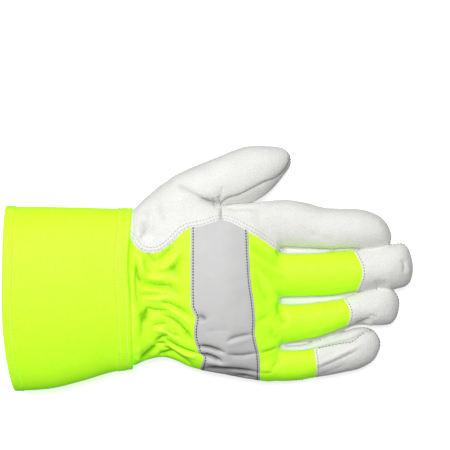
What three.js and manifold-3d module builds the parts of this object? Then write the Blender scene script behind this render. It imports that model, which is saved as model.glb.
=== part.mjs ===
// A work glove for the right hand, lying palm down: a leather palm, thumb and index finger,
// a bright cloth back with a reflective band, and a bright gauntlet cuff. It is hollow from
// the cuff's mouth to every fingertip. Millimetres, +X to the fingertips, +Y to the thumb, +Z up.
import * as THREE from 'three';
import { mergeVertices } from 'three/addons/utils/BufferGeometryUtils.js';
import Module from 'manifold-3d';

const wasm = await Module();
wasm.setup();

// Walls and the gap that sewn edges keep
const HAND_WALL = 1.6;
const CUFF_WALL = 1.6;
const HEM_SWELL = 0.5;
const SEAM_GAP = 0.3;

// Cuff
const CUFF_LENGTH = 100;
const CUFF_WIDTH = 146;
const CUFF_HEIGHT = 52;
const HEM_WIDTH = 8;
const JOIN_BAND_WIDTH = 10;
const TAB_LENGTH = 35;
const TAB_WIDTH = 56;
const TAB_CORNER = 12;

// Hand and fingers
const PALM_LENGTH = 122.4;
const HAND_HEIGHT = 46;
const FINGER_GAP = 3.3;
const FINGER_HEIGHT = 30;
const INDEX_LENGTH = 104;
const INDEX_WIDTH = 38;
const MIDDLE_LENGTH = 121;
const MIDDLE_WIDTH = 36.8;
const RING_LENGTH = 110.4;
const RING_WIDTH = 33.6;
const LITTLE_LENGTH = 95.2;
const LITTLE_WIDTH = 27.2;
const THUMB_LENGTH = 113.6;
const THUMB_WIDTH = 43.2;
const THUMB_HEIGHT = 37;
const THUMB_HEADING = 23.3;

// Seams, folds and the band
const SIDE_SEAM_HEIGHT = 13;
const SIDE_STRIP_LOW = 7;
const SIDE_STRIP_HIGH = 20;
const TAPE_WIDTH = 46.4;
const TAPE_WALL = 0.7;
const FOLD_DEPTH = 2.4;
const FOLD_SPREAD = 5;

// What follows from the driving sizes
const FINGER_WIDTHS = [INDEX_WIDTH, MIDDLE_WIDTH, RING_WIDTH, LITTLE_WIDTH];
const HAND_WIDTH = FINGER_WIDTHS.reduce((sum, width) => sum + width, 0) + 3 * FINGER_GAP;
const HAND_START = CUFF_LENGTH + SEAM_GAP;
const TAB_LIFT = (HAND_WALL + SEAM_GAP + HEM_SWELL) / CUFF_HEIGHT;
const OVERCUT = 6;
const FAR = 2 * HAND_WIDTH;
const SMALLEST_HALF = 0.5;

// How far the flat underside cuts into the oval of a section, as a share of its height
const FLATTENED = 0.1;

function table(columns, rows) {
  const names = columns.split(' ');
  return rows.map((row) => Object.fromEntries(names.map((name, i) => [name, row[i]])));
}

// Each row is a section across a tube. along is a share of its length, thumbSide and
// littleSide of its width, under and top of its height.
const SECTION_COLUMNS = 'along thumbSide littleSide under top';

// The cuff also has a slant, the share of its length that its little-finger side is drawn in by
const CUFF_ROWS = table(`${SECTION_COLUMNS} slant`, [
  [0.00, 0.463, -0.540, 0.00, 1.00, 0.070],
  [0.10, 0.462, -0.541, 0.00, 0.99, 0.066],
  [0.30, 0.461, -0.534, TAB_LIFT / 2, 0.96, 0.040],
  [0.60, 0.456, -0.489, TAB_LIFT, 0.91, 0.010],
  [0.85, 0.451, -0.441, TAB_LIFT, 0.85, 0.000],
  [1.00, 0.449, -0.424, TAB_LIFT, 0.83, 0.000],
]);

const HAND_ROWS = table(SECTION_COLUMNS, [
  [0.000, 0.450, -0.418, 0, 0.90],
  [0.033, 0.467, -0.400, 0, 0.92],
  [0.080, 0.503, -0.385, 0, 0.88],
  [0.145, 0.552, -0.370, 0, 0.89],
  [0.216, 0.596, -0.364, 0, 0.91],
  [0.280, 0.604, -0.380, 0, 0.93],
  [0.360, 0.571, -0.412, 0, 0.96],
  [0.445, 0.522, -0.432, 0, 0.98],
  [0.520, 0.484, -0.445, 0, 1.00],
  [0.610, 0.467, -0.459, 0, 1.00],
  [0.705, 0.473, -0.475, 0, 0.99],
  [0.800, 0.484, -0.489, 0, 0.95],
  [0.890, 0.489, -0.500, 0, 0.86],
  [0.950, 0.478, -0.497, 0, 0.74],
  [0.987, 0.450, -0.470, 0, 0.60],
  [1.000, 0.420, -0.445, 0, 0.45],
]);

const INDEX_ROWS = table(SECTION_COLUMNS, [
  [0.000, 0.460, -0.470, 0.00, 1.00],
  [0.170, 0.500, -0.500, 0.00, 1.00],
  [0.330, 0.450, -0.530, 0.00, 0.98],
  [0.475, 0.340, -0.545, 0.00, 0.96],
  [0.610, 0.320, -0.550, 0.00, 0.94],
  [0.785, 0.290, -0.540, 0.00, 0.90],
  [0.860, 0.225, -0.520, 0.00, 0.86],
  [0.940, 0.080, -0.480, 0.06, 0.74],
  [0.985, -0.110, -0.415, 0.18, 0.58],
  [1.000, -0.240, -0.350, 0.26, 0.48],
]);

const MIDDLE_ROWS = table(SECTION_COLUMNS, [
  [0.000, 0.470, -0.470, 0.00, 1.00],
  [0.150, 0.500, -0.500, 0.00, 1.02],
  [0.320, 0.510, -0.500, 0.00, 1.00],
  [0.450, 0.520, -0.490, 0.00, 0.98],
  [0.620, 0.530, -0.400, 0.00, 0.95],
  [0.750, 0.550, -0.280, 0.00, 0.92],
  [0.870, 0.640, -0.300, 0.00, 0.88],
  [0.930, 0.680, -0.280, 0.05, 0.80],
  [0.967, 0.600, -0.220, 0.12, 0.68],
  [0.993, 0.350, -0.080, 0.22, 0.54],
  [1.000, 0.240, 0.040, 0.28, 0.46],
]);

const RING_ROWS = table(SECTION_COLUMNS, [
  [0.000, 0.460, -0.460, 0.00, 0.98],
  [0.150, 0.500, -0.500, 0.00, 1.00],
  [0.275, 0.520, -0.460, 0.00, 0.98],
  [0.400, 0.550, -0.390, 0.00, 0.96],
  [0.580, 0.610, -0.180, 0.00, 0.92],
  [0.695, 0.700, -0.040, 0.00, 0.90],
  [0.800, 0.770, -0.055, 0.00, 0.87],
  [0.890, 0.800, -0.055, 0.03, 0.80],
  [0.950, 0.760, 0.000, 0.10, 0.68],
  [0.985, 0.650, 0.180, 0.20, 0.54],
  [1.000, 0.550, 0.370, 0.28, 0.46],
]);

const LITTLE_ROWS = table(SECTION_COLUMNS, [
  [0.000, 0.485, -0.470, 0.00, 0.90],
  [0.175, 0.500, -0.500, 0.00, 0.92],
  [0.320, 0.530, -0.470, 0.00, 0.90],
  [0.445, 0.630, -0.380, 0.00, 0.88],
  [0.570, 0.780, -0.320, 0.00, 0.87],
  [0.700, 0.940, -0.220, 0.00, 0.85],
  [0.800, 1.060, -0.160, 0.00, 0.82],
  [0.890, 1.060, -0.010, 0.04, 0.74],
  [0.960, 0.930, 0.200, 0.14, 0.60],
  [1.000, 0.710, 0.500, 0.26, 0.46],
]);

const THUMB_ROWS = table(SECTION_COLUMNS, [
  [0.000, 0.260, -0.200, 0.00, 0.70],
  [0.140, 0.480, -0.330, 0.00, 0.94],
  [0.280, 0.520, -0.390, 0.00, 1.00],
  [0.400, 0.520, -0.410, 0.00, 1.00],
  [0.490, 0.513, -0.440, 0.00, 0.98],
  [0.580, 0.510, -0.487, 0.00, 0.95],
  [0.670, 0.505, -0.490, 0.00, 0.91],
  [0.760, 0.467, -0.440, 0.00, 0.85],
  [0.860, 0.360, -0.324, 0.02, 0.76],
  [0.935, 0.260, -0.220, 0.09, 0.64],
  [0.980, 0.176, -0.130, 0.18, 0.52],
  [1.000, 0.065, -0.028, 0.26, 0.44],
]);

// Folds and gathers on the back. The line's ends are shares of the palm's length and the
// hand's width, rise is a share of FOLD_DEPTH and spread of FOLD_SPREAD.
const FOLDS = table('fromAlong fromAcross toAlong toAcross rise spread', [
  [0.02, 0.40, 0.02, -0.38, 0.60, 0.8],
  [0.08, 0.12, 0.22, 0.15, 0.80, 1.0],
  [0.08, 0.06, 0.23, 0.06, 0.80, 0.9],
  [0.08, -0.03, 0.24, -0.03, 0.80, 0.9],
  [0.08, -0.12, 0.20, -0.13, 0.60, 0.9],
  [0.09, -0.22, 0.18, -0.24, 0.60, 0.9],
  [0.10, -0.31, 0.18, -0.33, 0.60, 0.9],
  [0.17, -0.13, 0.37, -0.27, -0.70, 0.8],
  [0.19, -0.25, 0.43, -0.35, -0.90, 0.9],
  [0.19, -0.31, 0.39, -0.42, -0.70, 0.8],
  [0.10, 0.20, 0.17, 0.15, -0.50, 0.8],
  [0.42, -0.15, 0.48, -0.18, -0.60, 0.8],
  [0.42, -0.31, 0.64, -0.36, -0.60, 0.8],
  [0.77, 0.30, 0.98, 0.16, -0.50, 1.0],
  [0.82, -0.26, 0.97, -0.31, -0.50, 1.0],
]);

// Edges sewn across the back and the palm, as shares of the palm's length and the hand's width
const EDGE_COLUMNS = 'along across';

const LEATHER_EDGE_AT_WRIST = table(EDGE_COLUMNS, [
  [0.000, 0.286], [0.036, 0.240], [0.096, 0.213], [0.167, 0.214], [0.255, 0.258],
  [0.353, 0.335], [0.464, 0.357], [0.582, 0.386],
]);
const LEATHER_EDGE_AT_KNUCKLE = table(EDGE_COLUMNS, [[0.762, 0.323], [0.950, 0.219]]);
const THUMB_EDGE = table(EDGE_COLUMNS, [
  [0.575, 0.467], [0.640, 0.480], [0.706, 0.484], [0.810, 0.497], [0.935, 0.522], [1.098, 0.577],
  [1.230, 0.775],
]);
const THUMB_SEAM_UNDER = table(EDGE_COLUMNS, [[0.235, 0.690], [0.314, 0.600], [0.444, 0.516]]);
const TAPE_MIDDLE = table(EDGE_COLUMNS, [
  [0.565, 0.460], [0.572, 0.330], [0.575, 0.160], [0.585, -0.050], [0.608, -0.187],
  [0.634, -0.352], [0.653, -0.570],
]);
const FRONT_SEAM_ALONG = 0.972;
const CROTCH_ALONG = 0.993;

// Where each fingertip's leather starts, as shares of the finger's length
const TIP_SEAMS = {
  middle: { thumbSide: 0.603, middle: 0.655, littleSide: 0.620 },
  ring: { thumbSide: 0.580, middle: 0.630, littleSide: 0.600 },
  little: { thumbSide: 0.420, middle: 0.445, littleSide: 0.452 },
};

// How the steps of the surface are spread over a section and along the palm
const WIDE_STEPS = { top: 22, under: 6 };
const NARROW_STEPS = { top: 10, under: 5 };
const LINING_STEPS = { top: 7, under: 5 };
const WRIST_STEP = 0.046;
const KNUCKLE_STEP = 0.075;
const WRIST_END = 0.46;
const KNUCKLE_END = 0.9;
const END_STATIONS = [0.92, 0.96, 0.987, 1];
const GAP_LINE_STEP = 4;

// The digits' roots lie inside the hand, side by side in its width
const ROOT_ALONG = 0.85;
const THUMB_ROOT = { along: 0.183, across: 0.434 };

function handX(along) {
  return HAND_START + along * PALM_LENGTH;
}

function handPoint(place) {
  return new THREE.Vector2(handX(place.along), place.across * HAND_WIDTH);
}

function fingerMiddle(number) {
  const before = FINGER_WIDTHS.slice(0, number).reduce((sum, width) => sum + width + FINGER_GAP, 0);
  return HAND_WIDTH / 2 - before - FINGER_WIDTHS[number] / 2;
}

function finger(number, length, rows) {
  return {
    origin: new THREE.Vector2(handX(ROOT_ALONG), fingerMiddle(number)),
    heading: 0,
    length,
    width: FINGER_WIDTHS[number],
    height: FINGER_HEIGHT,
    roundness: 2.1,
    roundEnd: true,
    steps: NARROW_STEPS,
    rows,
  };
}

const index = finger(0, INDEX_LENGTH, INDEX_ROWS);
const middle = finger(1, MIDDLE_LENGTH, MIDDLE_ROWS);
const ring = finger(2, RING_LENGTH, RING_ROWS);
const little = finger(3, LITTLE_LENGTH, LITTLE_ROWS);
const thumb = {
  origin: handPoint(THUMB_ROOT),
  heading: THREE.MathUtils.degToRad(THUMB_HEADING),
  length: THUMB_LENGTH,
  width: THUMB_WIDTH,
  height: THUMB_HEIGHT,
  roundness: 2.1,
  roundEnd: true,
  steps: NARROW_STEPS,
  rows: THUMB_ROWS,
};
const hand = {
  origin: new THREE.Vector2(HAND_START, 0),
  heading: 0,
  length: PALM_LENGTH,
  width: HAND_WIDTH,
  height: HAND_HEIGHT,
  roundness: 2.35,
  roundEnd: true,
  steps: WIDE_STEPS,
  rows: resampled(HAND_ROWS, handStations()),
  folded: true,
};
const cuff = {
  origin: new THREE.Vector2(0, 0),
  heading: 0,
  length: CUFF_LENGTH,
  width: CUFF_WIDTH,
  height: CUFF_HEIGHT,
  roundness: 2.5,
  steps: WIDE_STEPS,
};

function sampler(rows) {
  const columns = Object.keys(rows[0]);
  const keys = rows.map((row) => row.along);
  const values = rows.flatMap((row) => columns.map((column) => row[column]));
  const curve = new THREE.CubicInterpolant(keys, values, columns.length);
  return (along) => {
    const value = Array.from(curve.evaluate(along));
    return Object.fromEntries(columns.map((column, i) => [column, value[i]]));
  };
}

function resampled(rows, stations) {
  return stations.map(sampler(rows));
}

// Close steps over the wrist's gathers, wider ones over the knuckles, then the rounded end
function handStations() {
  const stations = [];
  for (let along = 0; along < WRIST_END; along += WRIST_STEP) stations.push(along);
  for (let along = WRIST_END; along < KNUCKLE_END; along += KNUCKLE_STEP) stations.push(along);
  return [...stations, ...END_STATIONS];
}

function foldRise(x, y) {
  const point = new THREE.Vector2(x, y);
  let rise = 0;
  for (const fold of FOLDS) {
    const from = handPoint({ along: fold.fromAlong, across: fold.fromAcross });
    const to = handPoint({ along: fold.toAlong, across: fold.toAcross });
    const line = to.clone().sub(from);
    const share = THREE.MathUtils.clamp(point.clone().sub(from).dot(line) / line.lengthSq(), 0, 1);
    const away = point.distanceTo(from.addScaledVector(line, share)) / (fold.spread * FOLD_SPREAD);
    rise += fold.rise * FOLD_DEPTH * Math.exp(-away * away);
  }
  return rise;
}

// The points around one section, grown outward or, if grow is below zero, inward
function section(tube, row, grow, lengthChange, steps) {
  const place = row.along * (tube.length + lengthChange) + (row.shift ?? 0);
  const across = ((row.thumbSide + row.littleSide) / 2) * tube.width;
  const half = Math.max(SMALLEST_HALF, ((row.thumbSide - row.littleSide) / 2) * tube.width + grow);
  const under = Math.max(0, row.under * tube.height - grow);
  const top = Math.max(under + SMALLEST_HALF, row.top * tube.height + grow);
  const low = under - FLATTENED * (top - under);
  const rotate = (x, y) => new THREE.Vector2(x, y).rotateAround(new THREE.Vector2(), tube.heading);
  const angles = [];
  for (let i = 0; i < steps.top; i += 1) angles.push((Math.PI * i) / steps.top);
  for (let i = 0; i < steps.under; i += 1) angles.push(Math.PI * (1 + i / steps.under));
  return angles.map((angle) => {
    const side = roundedShare(Math.cos(angle), tube.roundness);
    const rise = roundedShare(Math.sin(angle), tube.roundness);
    const drawnIn = (row.slant ?? 0) * tube.length * Math.max(0, -side) ** 2;
    const flat = rotate(place + drawnIn, across + side * half).add(tube.origin);
    const height = (top + low) / 2 + (rise * (top - low)) / 2;
    const fold = tube.folded ? foldRise(flat.x, flat.y) * Math.max(0, rise) : 0;
    return new THREE.Vector3(flat.x, flat.y, Math.max(under, height + fold));
  });
}

function roundedShare(value, roundness) {
  return Math.sign(value) * Math.abs(value) ** (2 / roundness);
}

// The faces of a sleeve through rings of points, given where each ring starts in the list
function sleeveFaces(starts, count) {
  const faces = [];
  for (let r = 0; r + 1 < starts.length; r += 1) {
    for (let i = 0; i < count; i += 1) {
      const next = (i + 1) % count;
      const [a, b] = [starts[r] + i, starts[r] + next];
      const [c, d] = [starts[r + 1] + i, starts[r + 1] + next];
      faces.push(a, b, c, b, d, c);
    }
  }
  return faces;
}

// A closed solid through the tube's sections. open names the ends that run on past it.
function loft(tube, { grow = 0, open = [], steps = tube.steps } = {}) {
  const rows = [...tube.rows];
  if (open.includes('start')) rows.unshift({ ...rows[0], shift: -OVERCUT });
  if (open.includes('end')) rows.push({ ...rows[rows.length - 1], shift: OVERCUT });
  const lengthChange = tube.roundEnd && !open.includes('end') ? grow : 0;
  const rings = rows.map((row) => section(tube, row, grow, lengthChange, steps));
  const count = rings[0].length;
  const points = rings.flat();
  const faces = sleeveFaces(rings.map((_, r) => r * count), count);
  for (const [start, turn] of [[0, true], [points.length - count, false]]) {
    const centre = points.slice(start, start + count).reduce((sum, p) => sum.add(p), new THREE.Vector3());
    points.push(centre.divideScalar(count));
    for (let i = 0; i < count; i += 1) {
      const pair = [start + i, start + ((i + 1) % count)];
      faces.push(...(turn ? pair.reverse() : pair), points.length - 1);
    }
  }
  const geometry = new THREE.BufferGeometry().setFromPoints(points);
  geometry.setIndex(faces);
  return solid(geometry);
}

function solid(geometry) {
  const plain = geometry.clone();
  plain.deleteAttribute('normal');
  plain.deleteAttribute('uv');
  const merged = mergeVertices(plain);
  const triVerts = new Uint32Array(merged.index.array);
  const vertProperties = new Float32Array(merged.attributes.position.array);
  return new wasm.Manifold(new wasm.Mesh({ numProp: 3, vertProperties, triVerts }));
}

// An outline moved inward by a distance, each edge along its own normal
function inset(outline, distance) {
  const points = THREE.ShapeUtils.isClockWise(outline) ? [...outline].reverse() : outline;
  const normal = (from, to) => new THREE.Vector2(from.y - to.y, to.x - from.x).normalize();
  return points.map((point, i) => {
    const before = normal(points.at(i - 1), point);
    const after = normal(point, points[(i + 1) % points.length]);
    const miter = before.add(after).normalize();
    return point.clone().addScaledVector(miter, distance / Math.max(0.3, miter.dot(after)));
  });
}

function prism(outline, low, high, distance = SEAM_GAP / 2) {
  const shape = new THREE.Shape(inset(outline, distance));
  const geometry = new THREE.ExtrudeGeometry(shape, { depth: high - low, bevelEnabled: false });
  return solid(geometry.translate(0, 0, low));
}

function tubeEdge(tube, x, side) {
  const along = (x - tube.origin.x) / tube.length;
  return tube.origin.y + sampler(tube.rows)(THREE.MathUtils.clamp(along, 0, 1))[side] * tube.width;
}

// The line between two fingers, from the crotch out past both tips
function gapLine(upper, lower) {
  const tips = [upper, lower].map((tube) => tube.origin.x + tube.length);
  const line = [];
  const crotch = handX(CROTCH_ALONG);
  const end = Math.max(...tips) + OVERCUT;
  for (let x = crotch; x < end; x += GAP_LINE_STEP) {
    const above = tubeEdge(upper, x, 'littleSide');
    const below = tubeEdge(lower, x, 'thumbSide');
    let y = (above + below) / 2;
    if (x > tips[0] + GAP_LINE_STEP) y = Math.max(y, below + OVERCUT);
    if (x > tips[1] + GAP_LINE_STEP) y = Math.min(y, above - OVERCUT);
    line.push(new THREE.Vector2(x, y));
  }
  return line;
}

function lineY(line, x) {
  const next = Math.max(1, line.findIndex((point) => point.x >= x));
  const share = (x - line[next - 1].x) / (line[next].x - line[next - 1].x);
  return THREE.MathUtils.lerp(line[next - 1].y, line[next].y, share);
}

function lineBeyond(line, x) {
  return [new THREE.Vector2(x, lineY(line, x)), ...line.filter((point) => point.x > x + 1)];
}

function lineUpTo(line, x) {
  return [...line.filter((point) => point.x < x - 1), new THREE.Vector2(x, lineY(line, x))];
}

const indexMiddleGap = gapLine(index, middle);
const middleRingGap = gapLine(middle, ring);
const ringLittleGap = gapLine(ring, little);
const littleSide = [new THREE.Vector2(handX(CROTCH_ALONG), -FAR), new THREE.Vector2(handX(3), -FAR)];

function tipSeam(tube, places, upperLine, lowerLine) {
  const thumbX = tube.origin.x + places.thumbSide * tube.length;
  const middleX = tube.origin.x + places.middle * tube.length;
  const littleX = tube.origin.x + places.littleSide * tube.length;
  const middleY = (lineY(upperLine, middleX) + tubeEdge(tube, middleX, 'littleSide')) / 2;
  return { thumbX, littleX, turn: new THREE.Vector2(middleX, middleY), upperLine, lowerLine };
}

const middleTipSeam = tipSeam(middle, TIP_SEAMS.middle, indexMiddleGap, middleRingGap);
const ringTipSeam = tipSeam(ring, TIP_SEAMS.ring, middleRingGap, ringLittleGap);
const littleTipSeam = tipSeam(little, TIP_SEAMS.little, ringLittleGap, littleSide);

function backOfFinger(seam) {
  return [
    new THREE.Vector2(seam.thumbX, lineY(seam.upperLine, seam.thumbX)),
    seam.turn,
    new THREE.Vector2(seam.littleX, lineY(seam.lowerLine, seam.littleX)),
  ];
}

function tipOutline(seam) {
  const upper = lineBeyond(seam.upperLine, seam.thumbX);
  return [...upper, ...lineBeyond(seam.lowerLine, seam.littleX).reverse(), seam.turn];
}

const wristX = HAND_START - OVERCUT;
const leatherEdge = LEATHER_EDGE_AT_WRIST.map(handPoint);
const knuckleEdge = LEATHER_EDGE_AT_KNUCKLE.map(handPoint);
const thumbEdge = THUMB_EDGE.map(handPoint);
const thumbSeamUnder = THUMB_SEAM_UNDER.map(handPoint);
const wristCorner = new THREE.Vector2(wristX, leatherEdge[0].y);
const thumbEdgeEnd = new THREE.Vector2(thumbEdge.at(-1).x, FAR);
const indexFar = [new THREE.Vector2(indexMiddleGap.at(-1).x, FAR), thumbEdgeEnd];

const fabricOutline = [
  wristCorner, ...leatherEdge, ...knuckleEdge,
  ...lineUpTo(indexMiddleGap, middleTipSeam.thumbX).slice(0, -1), ...backOfFinger(middleTipSeam),
  ...backOfFinger(ringTipSeam), ...backOfFinger(littleTipSeam).slice(0, 2),
  new THREE.Vector2(littleTipSeam.littleX, -FAR), new THREE.Vector2(wristX, -FAR),
];
const indexOutline = [
  leatherEdge.at(-1), ...knuckleEdge, ...indexMiddleGap, ...indexFar, ...[...thumbEdge].reverse(),
];
const goreOutline = [
  wristCorner, ...leatherEdge, ...thumbEdge, thumbEdgeEnd, new THREE.Vector2(wristX, FAR),
];
const thumbFrontOutline = [
  ...thumbSeamUnder, ...thumbEdge, thumbEdgeEnd, new THREE.Vector2(thumbSeamUnder[0].x, FAR),
];
const frontSeamX = handX(FRONT_SEAM_ALONG);
const frontSeam = [indexMiddleGap, ringLittleGap].map((line) => new THREE.Vector2(frontSeamX, line[0].y));
const palmOutline = [
  new THREE.Vector2(wristX, FAR), new THREE.Vector2(thumbSeamUnder[0].x, FAR),
  ...thumbSeamUnder, ...thumbEdge, thumbEdgeEnd, indexFar[0], ...[...indexMiddleGap].reverse(),
  ...frontSeam, ...ringLittleGap, new THREE.Vector2(ringLittleGap.at(-1).x, -FAR),
  new THREE.Vector2(wristX, -FAR),
];

function frontOutline(upperLine, lowerLine) {
  const start = [lowerLine, upperLine].map((line) => new THREE.Vector2(frontSeamX, line[0].y));
  return [...upperLine, ...[...lowerLine].reverse(), ...start];
}

// The strip between two fingers covers their facing side walls and the web that joins them
const STRIP_START_ALONG = 0.955;
const STRIP_END_SHARE = 0.86;

function stripOutline(upper, lower) {
  const startX = handX(STRIP_START_ALONG);
  const middleOf = (tube, share) => {
    const x = tube.origin.x + share * tube.length;
    const y = (tubeEdge(tube, x, 'thumbSide') + tubeEdge(tube, x, 'littleSide')) / 2;
    return new THREE.Vector2(x, y);
  };
  const rootShare = (tube) => (startX - tube.origin.x) / tube.length;
  const shares = [1, 2, 3].map((step) => (STRIP_END_SHARE * step) / 3);
  const above = [rootShare(upper), ...shares].map((share) => middleOf(upper, share));
  const below = [rootShare(lower), ...shares].map((share) => middleOf(lower, share));
  return [...above, ...below.reverse()];
}

const stripOutlines = {
  side_strip_index_middle: stripOutline(index, middle),
  side_strip_middle_ring: stripOutline(middle, ring),
  side_strip_ring_little: stripOutline(ring, little),
};

const digits = [index, middle, ring, little, thumb];
const outside = digits.reduce((sum, tube) => sum.add(loft(tube)), loft(hand));
const inside = digits.reduce(
  (sum, tube) => sum.add(loft(tube, { grow: -HAND_WALL, steps: LINING_STEPS })),
  loft(hand, { grow: -HAND_WALL, open: ['start'] }),
);
const handShell = outside.subtract(inside);

const HALF_GAP = SEAM_GAP / 2;
const ABOVE = 2 * HAND_HEIGHT;
const stripSpace = Object.values(stripOutlines)
  .map((outline) => prism(outline, SIDE_STRIP_LOW - HALF_GAP, SIDE_STRIP_HIGH + HALF_GAP, -HALF_GAP))
  .reduce((sum, space) => sum.add(space));
const sewnShell = handShell.subtract(stripSpace);

function backPiece(outline) {
  return sewnShell.intersect(prism(outline, SIDE_SEAM_HEIGHT + HALF_GAP, ABOVE));
}

function frontPiece(outline) {
  return sewnShell.intersect(prism(outline, -OVERCUT, SIDE_SEAM_HEIGHT - HALF_GAP));
}

function sideStrip(outline) {
  return handShell.intersect(prism(outline, SIDE_STRIP_LOW + HALF_GAP, SIDE_STRIP_HIGH - HALF_GAP));
}

// The palm's leather runs on under the cuff as a tab with two round corners
function tab() {
  const start = CUFF_LENGTH - TAB_LENGTH;
  const end = HAND_START + 2 * HAND_WALL;
  const shape = new THREE.Shape();
  shape.moveTo(end, TAB_WIDTH / 2);
  shape.lineTo(start + TAB_CORNER, TAB_WIDTH / 2);
  shape.absarc(start + TAB_CORNER, TAB_WIDTH / 2 - TAB_CORNER, TAB_CORNER, Math.PI / 2, Math.PI);
  shape.absarc(start + TAB_CORNER, TAB_CORNER - TAB_WIDTH / 2, TAB_CORNER, Math.PI, 1.5 * Math.PI);
  shape.lineTo(end, -TAB_WIDTH / 2);
  const options = { depth: HAND_WALL, bevelEnabled: false, curveSegments: 4 };
  return solid(new THREE.ExtrudeGeometry(shape, options));
}

// One stretch of the cuff's wall, between two places on its length
function cuffPiece(from, to, swell) {
  const at = sampler(CUFF_ROWS);
  const between = CUFF_ROWS.map((row) => row.along * CUFF_LENGTH).filter((x) => x > from + 1 && x < to - 1);
  const rows = [from, ...between, to].map((x) => at(x / CUFF_LENGTH));
  const outer = rows.map((row) => section(cuff, row, swell, 0, cuff.steps));
  const inner = rows.map((row) => section(cuff, row, -CUFF_WALL, 0, cuff.steps));
  const rings = [...outer, ...inner.reverse(), outer[0]];
  const count = outer[0].length;
  const starts = rings.map((_, r) => (r % (2 * rows.length)) * count);
  const geometry = new THREE.BufferGeometry().setFromPoints(rings.slice(0, -1).flat());
  geometry.setIndex(sleeveFaces(starts, count));
  return solid(geometry);
}

function tapeOutline() {
  const line = TAPE_MIDDLE.map(handPoint);
  const shifted = (distance) => line.map((point) => new THREE.Vector2(point.x + distance, point.y));
  return [...shifted(-TAPE_WIDTH / 2), ...shifted(TAPE_WIDTH / 2).reverse()];
}

function tape() {
  const under = loft(hand, { grow: SEAM_GAP, open: ['start', 'end'] });
  const over = loft(hand, { grow: SEAM_GAP + TAPE_WALL, open: ['start', 'end'] });
  const low = SIDE_SEAM_HEIGHT + HALF_GAP;
  return over.subtract(under).intersect(prism(tapeOutline(), low, ABOVE, 0))
    .intersect(prism(fabricOutline, low, ABOVE));
}

const leather = { color: 0xf2f3ef, roughness: 0.75, metalness: 0 };
const brightCloth = { color: 0xc8fc28, roughness: 0.6, metalness: 0 };
const reflective = { color: 0xcdcfd1, roughness: 0.45, metalness: 0.1 };

const joinStart = CUFF_LENGTH - JOIN_BAND_WIDTH;
const pieces = [
  ['cuff_hem', cuffPiece(0, HEM_WIDTH, HEM_SWELL), brightCloth],
  ['cuff', cuffPiece(HEM_WIDTH + SEAM_GAP, joinStart - SEAM_GAP, 0), brightCloth],
  ['cuff_join_band', cuffPiece(joinStart, CUFF_LENGTH, HEM_SWELL), brightCloth],
  ['back_fabric', backPiece(fabricOutline), brightCloth],
  ['reflective_band', tape(), reflective],
  ['thumb_back', backPiece(goreOutline), leather],
  ['thumb_front', frontPiece(thumbFrontOutline), leather],
  ['index_back', backPiece(indexOutline), leather],
  ['palm', frontPiece(palmOutline).add(tab()), leather],
  ['middle_tip', backPiece(tipOutline(middleTipSeam)), leather],
  ['ring_tip', backPiece(tipOutline(ringTipSeam)), leather],
  ['little_tip', backPiece(tipOutline(littleTipSeam)), leather],
  ['middle_front', frontPiece(frontOutline(indexMiddleGap, middleRingGap)), leather],
  ['ring_front', frontPiece(frontOutline(middleRingGap, ringLittleGap)), leather],
  ...Object.entries(stripOutlines).map(([name, outline]) => [name, sideStrip(outline), leather]),
];

function pieceMesh([name, body, look]) {
  const { vertProperties, triVerts } = body.getMesh();
  const geometry = new THREE.BufferGeometry();
  geometry.setAttribute('position', new THREE.BufferAttribute(vertProperties, 3));
  geometry.setIndex(new THREE.BufferAttribute(triVerts, 1));
  geometry.computeVertexNormals();
  const mesh = new THREE.Mesh(geometry, new THREE.MeshStandardMaterial(look));
  mesh.name = name;
  return mesh;
}

const glove = new THREE.Group();
glove.add(...pieces.map(pieceMesh));

// The origin lies under the middle of the glove, on the surface it rests on
const box = new THREE.Box3().setFromObject(glove);
const centre = box.getCenter(new THREE.Vector3());
glove.position.set(-centre.x, -centre.y, -box.min.z);

export default glove;
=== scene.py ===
"""A right-hand work glove of white leather and bright cloth, lying on its palm.

The glove's outer form is built from sections, remeshed into one skin, folded where the cloth
gathers, cut into its sewn pieces, and each piece is given its own thickness and stitches.
Places are millimetres from the cuff's mouth (x) and from the glove's middle line (y, towards the
thumb), except where a comment says that they are shares of a length and a width.
"""
import math

import bpy
import numpy as np
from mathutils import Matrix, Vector, noise
from mathutils.bvhtree import BVHTree


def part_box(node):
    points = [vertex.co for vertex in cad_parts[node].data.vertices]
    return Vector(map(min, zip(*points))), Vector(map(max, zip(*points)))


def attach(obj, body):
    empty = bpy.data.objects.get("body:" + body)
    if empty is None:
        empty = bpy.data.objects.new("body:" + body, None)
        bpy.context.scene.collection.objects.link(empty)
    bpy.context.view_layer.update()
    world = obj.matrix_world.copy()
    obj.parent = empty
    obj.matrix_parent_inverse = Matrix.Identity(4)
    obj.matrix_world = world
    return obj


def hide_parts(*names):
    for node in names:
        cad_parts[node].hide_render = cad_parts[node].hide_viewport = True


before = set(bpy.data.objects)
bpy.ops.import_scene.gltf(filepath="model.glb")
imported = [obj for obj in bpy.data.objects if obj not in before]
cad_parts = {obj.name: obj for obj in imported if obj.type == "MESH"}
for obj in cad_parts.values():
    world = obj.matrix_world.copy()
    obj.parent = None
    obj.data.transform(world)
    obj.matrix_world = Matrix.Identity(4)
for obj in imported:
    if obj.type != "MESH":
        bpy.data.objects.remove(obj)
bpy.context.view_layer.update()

MM = 0.001

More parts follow.
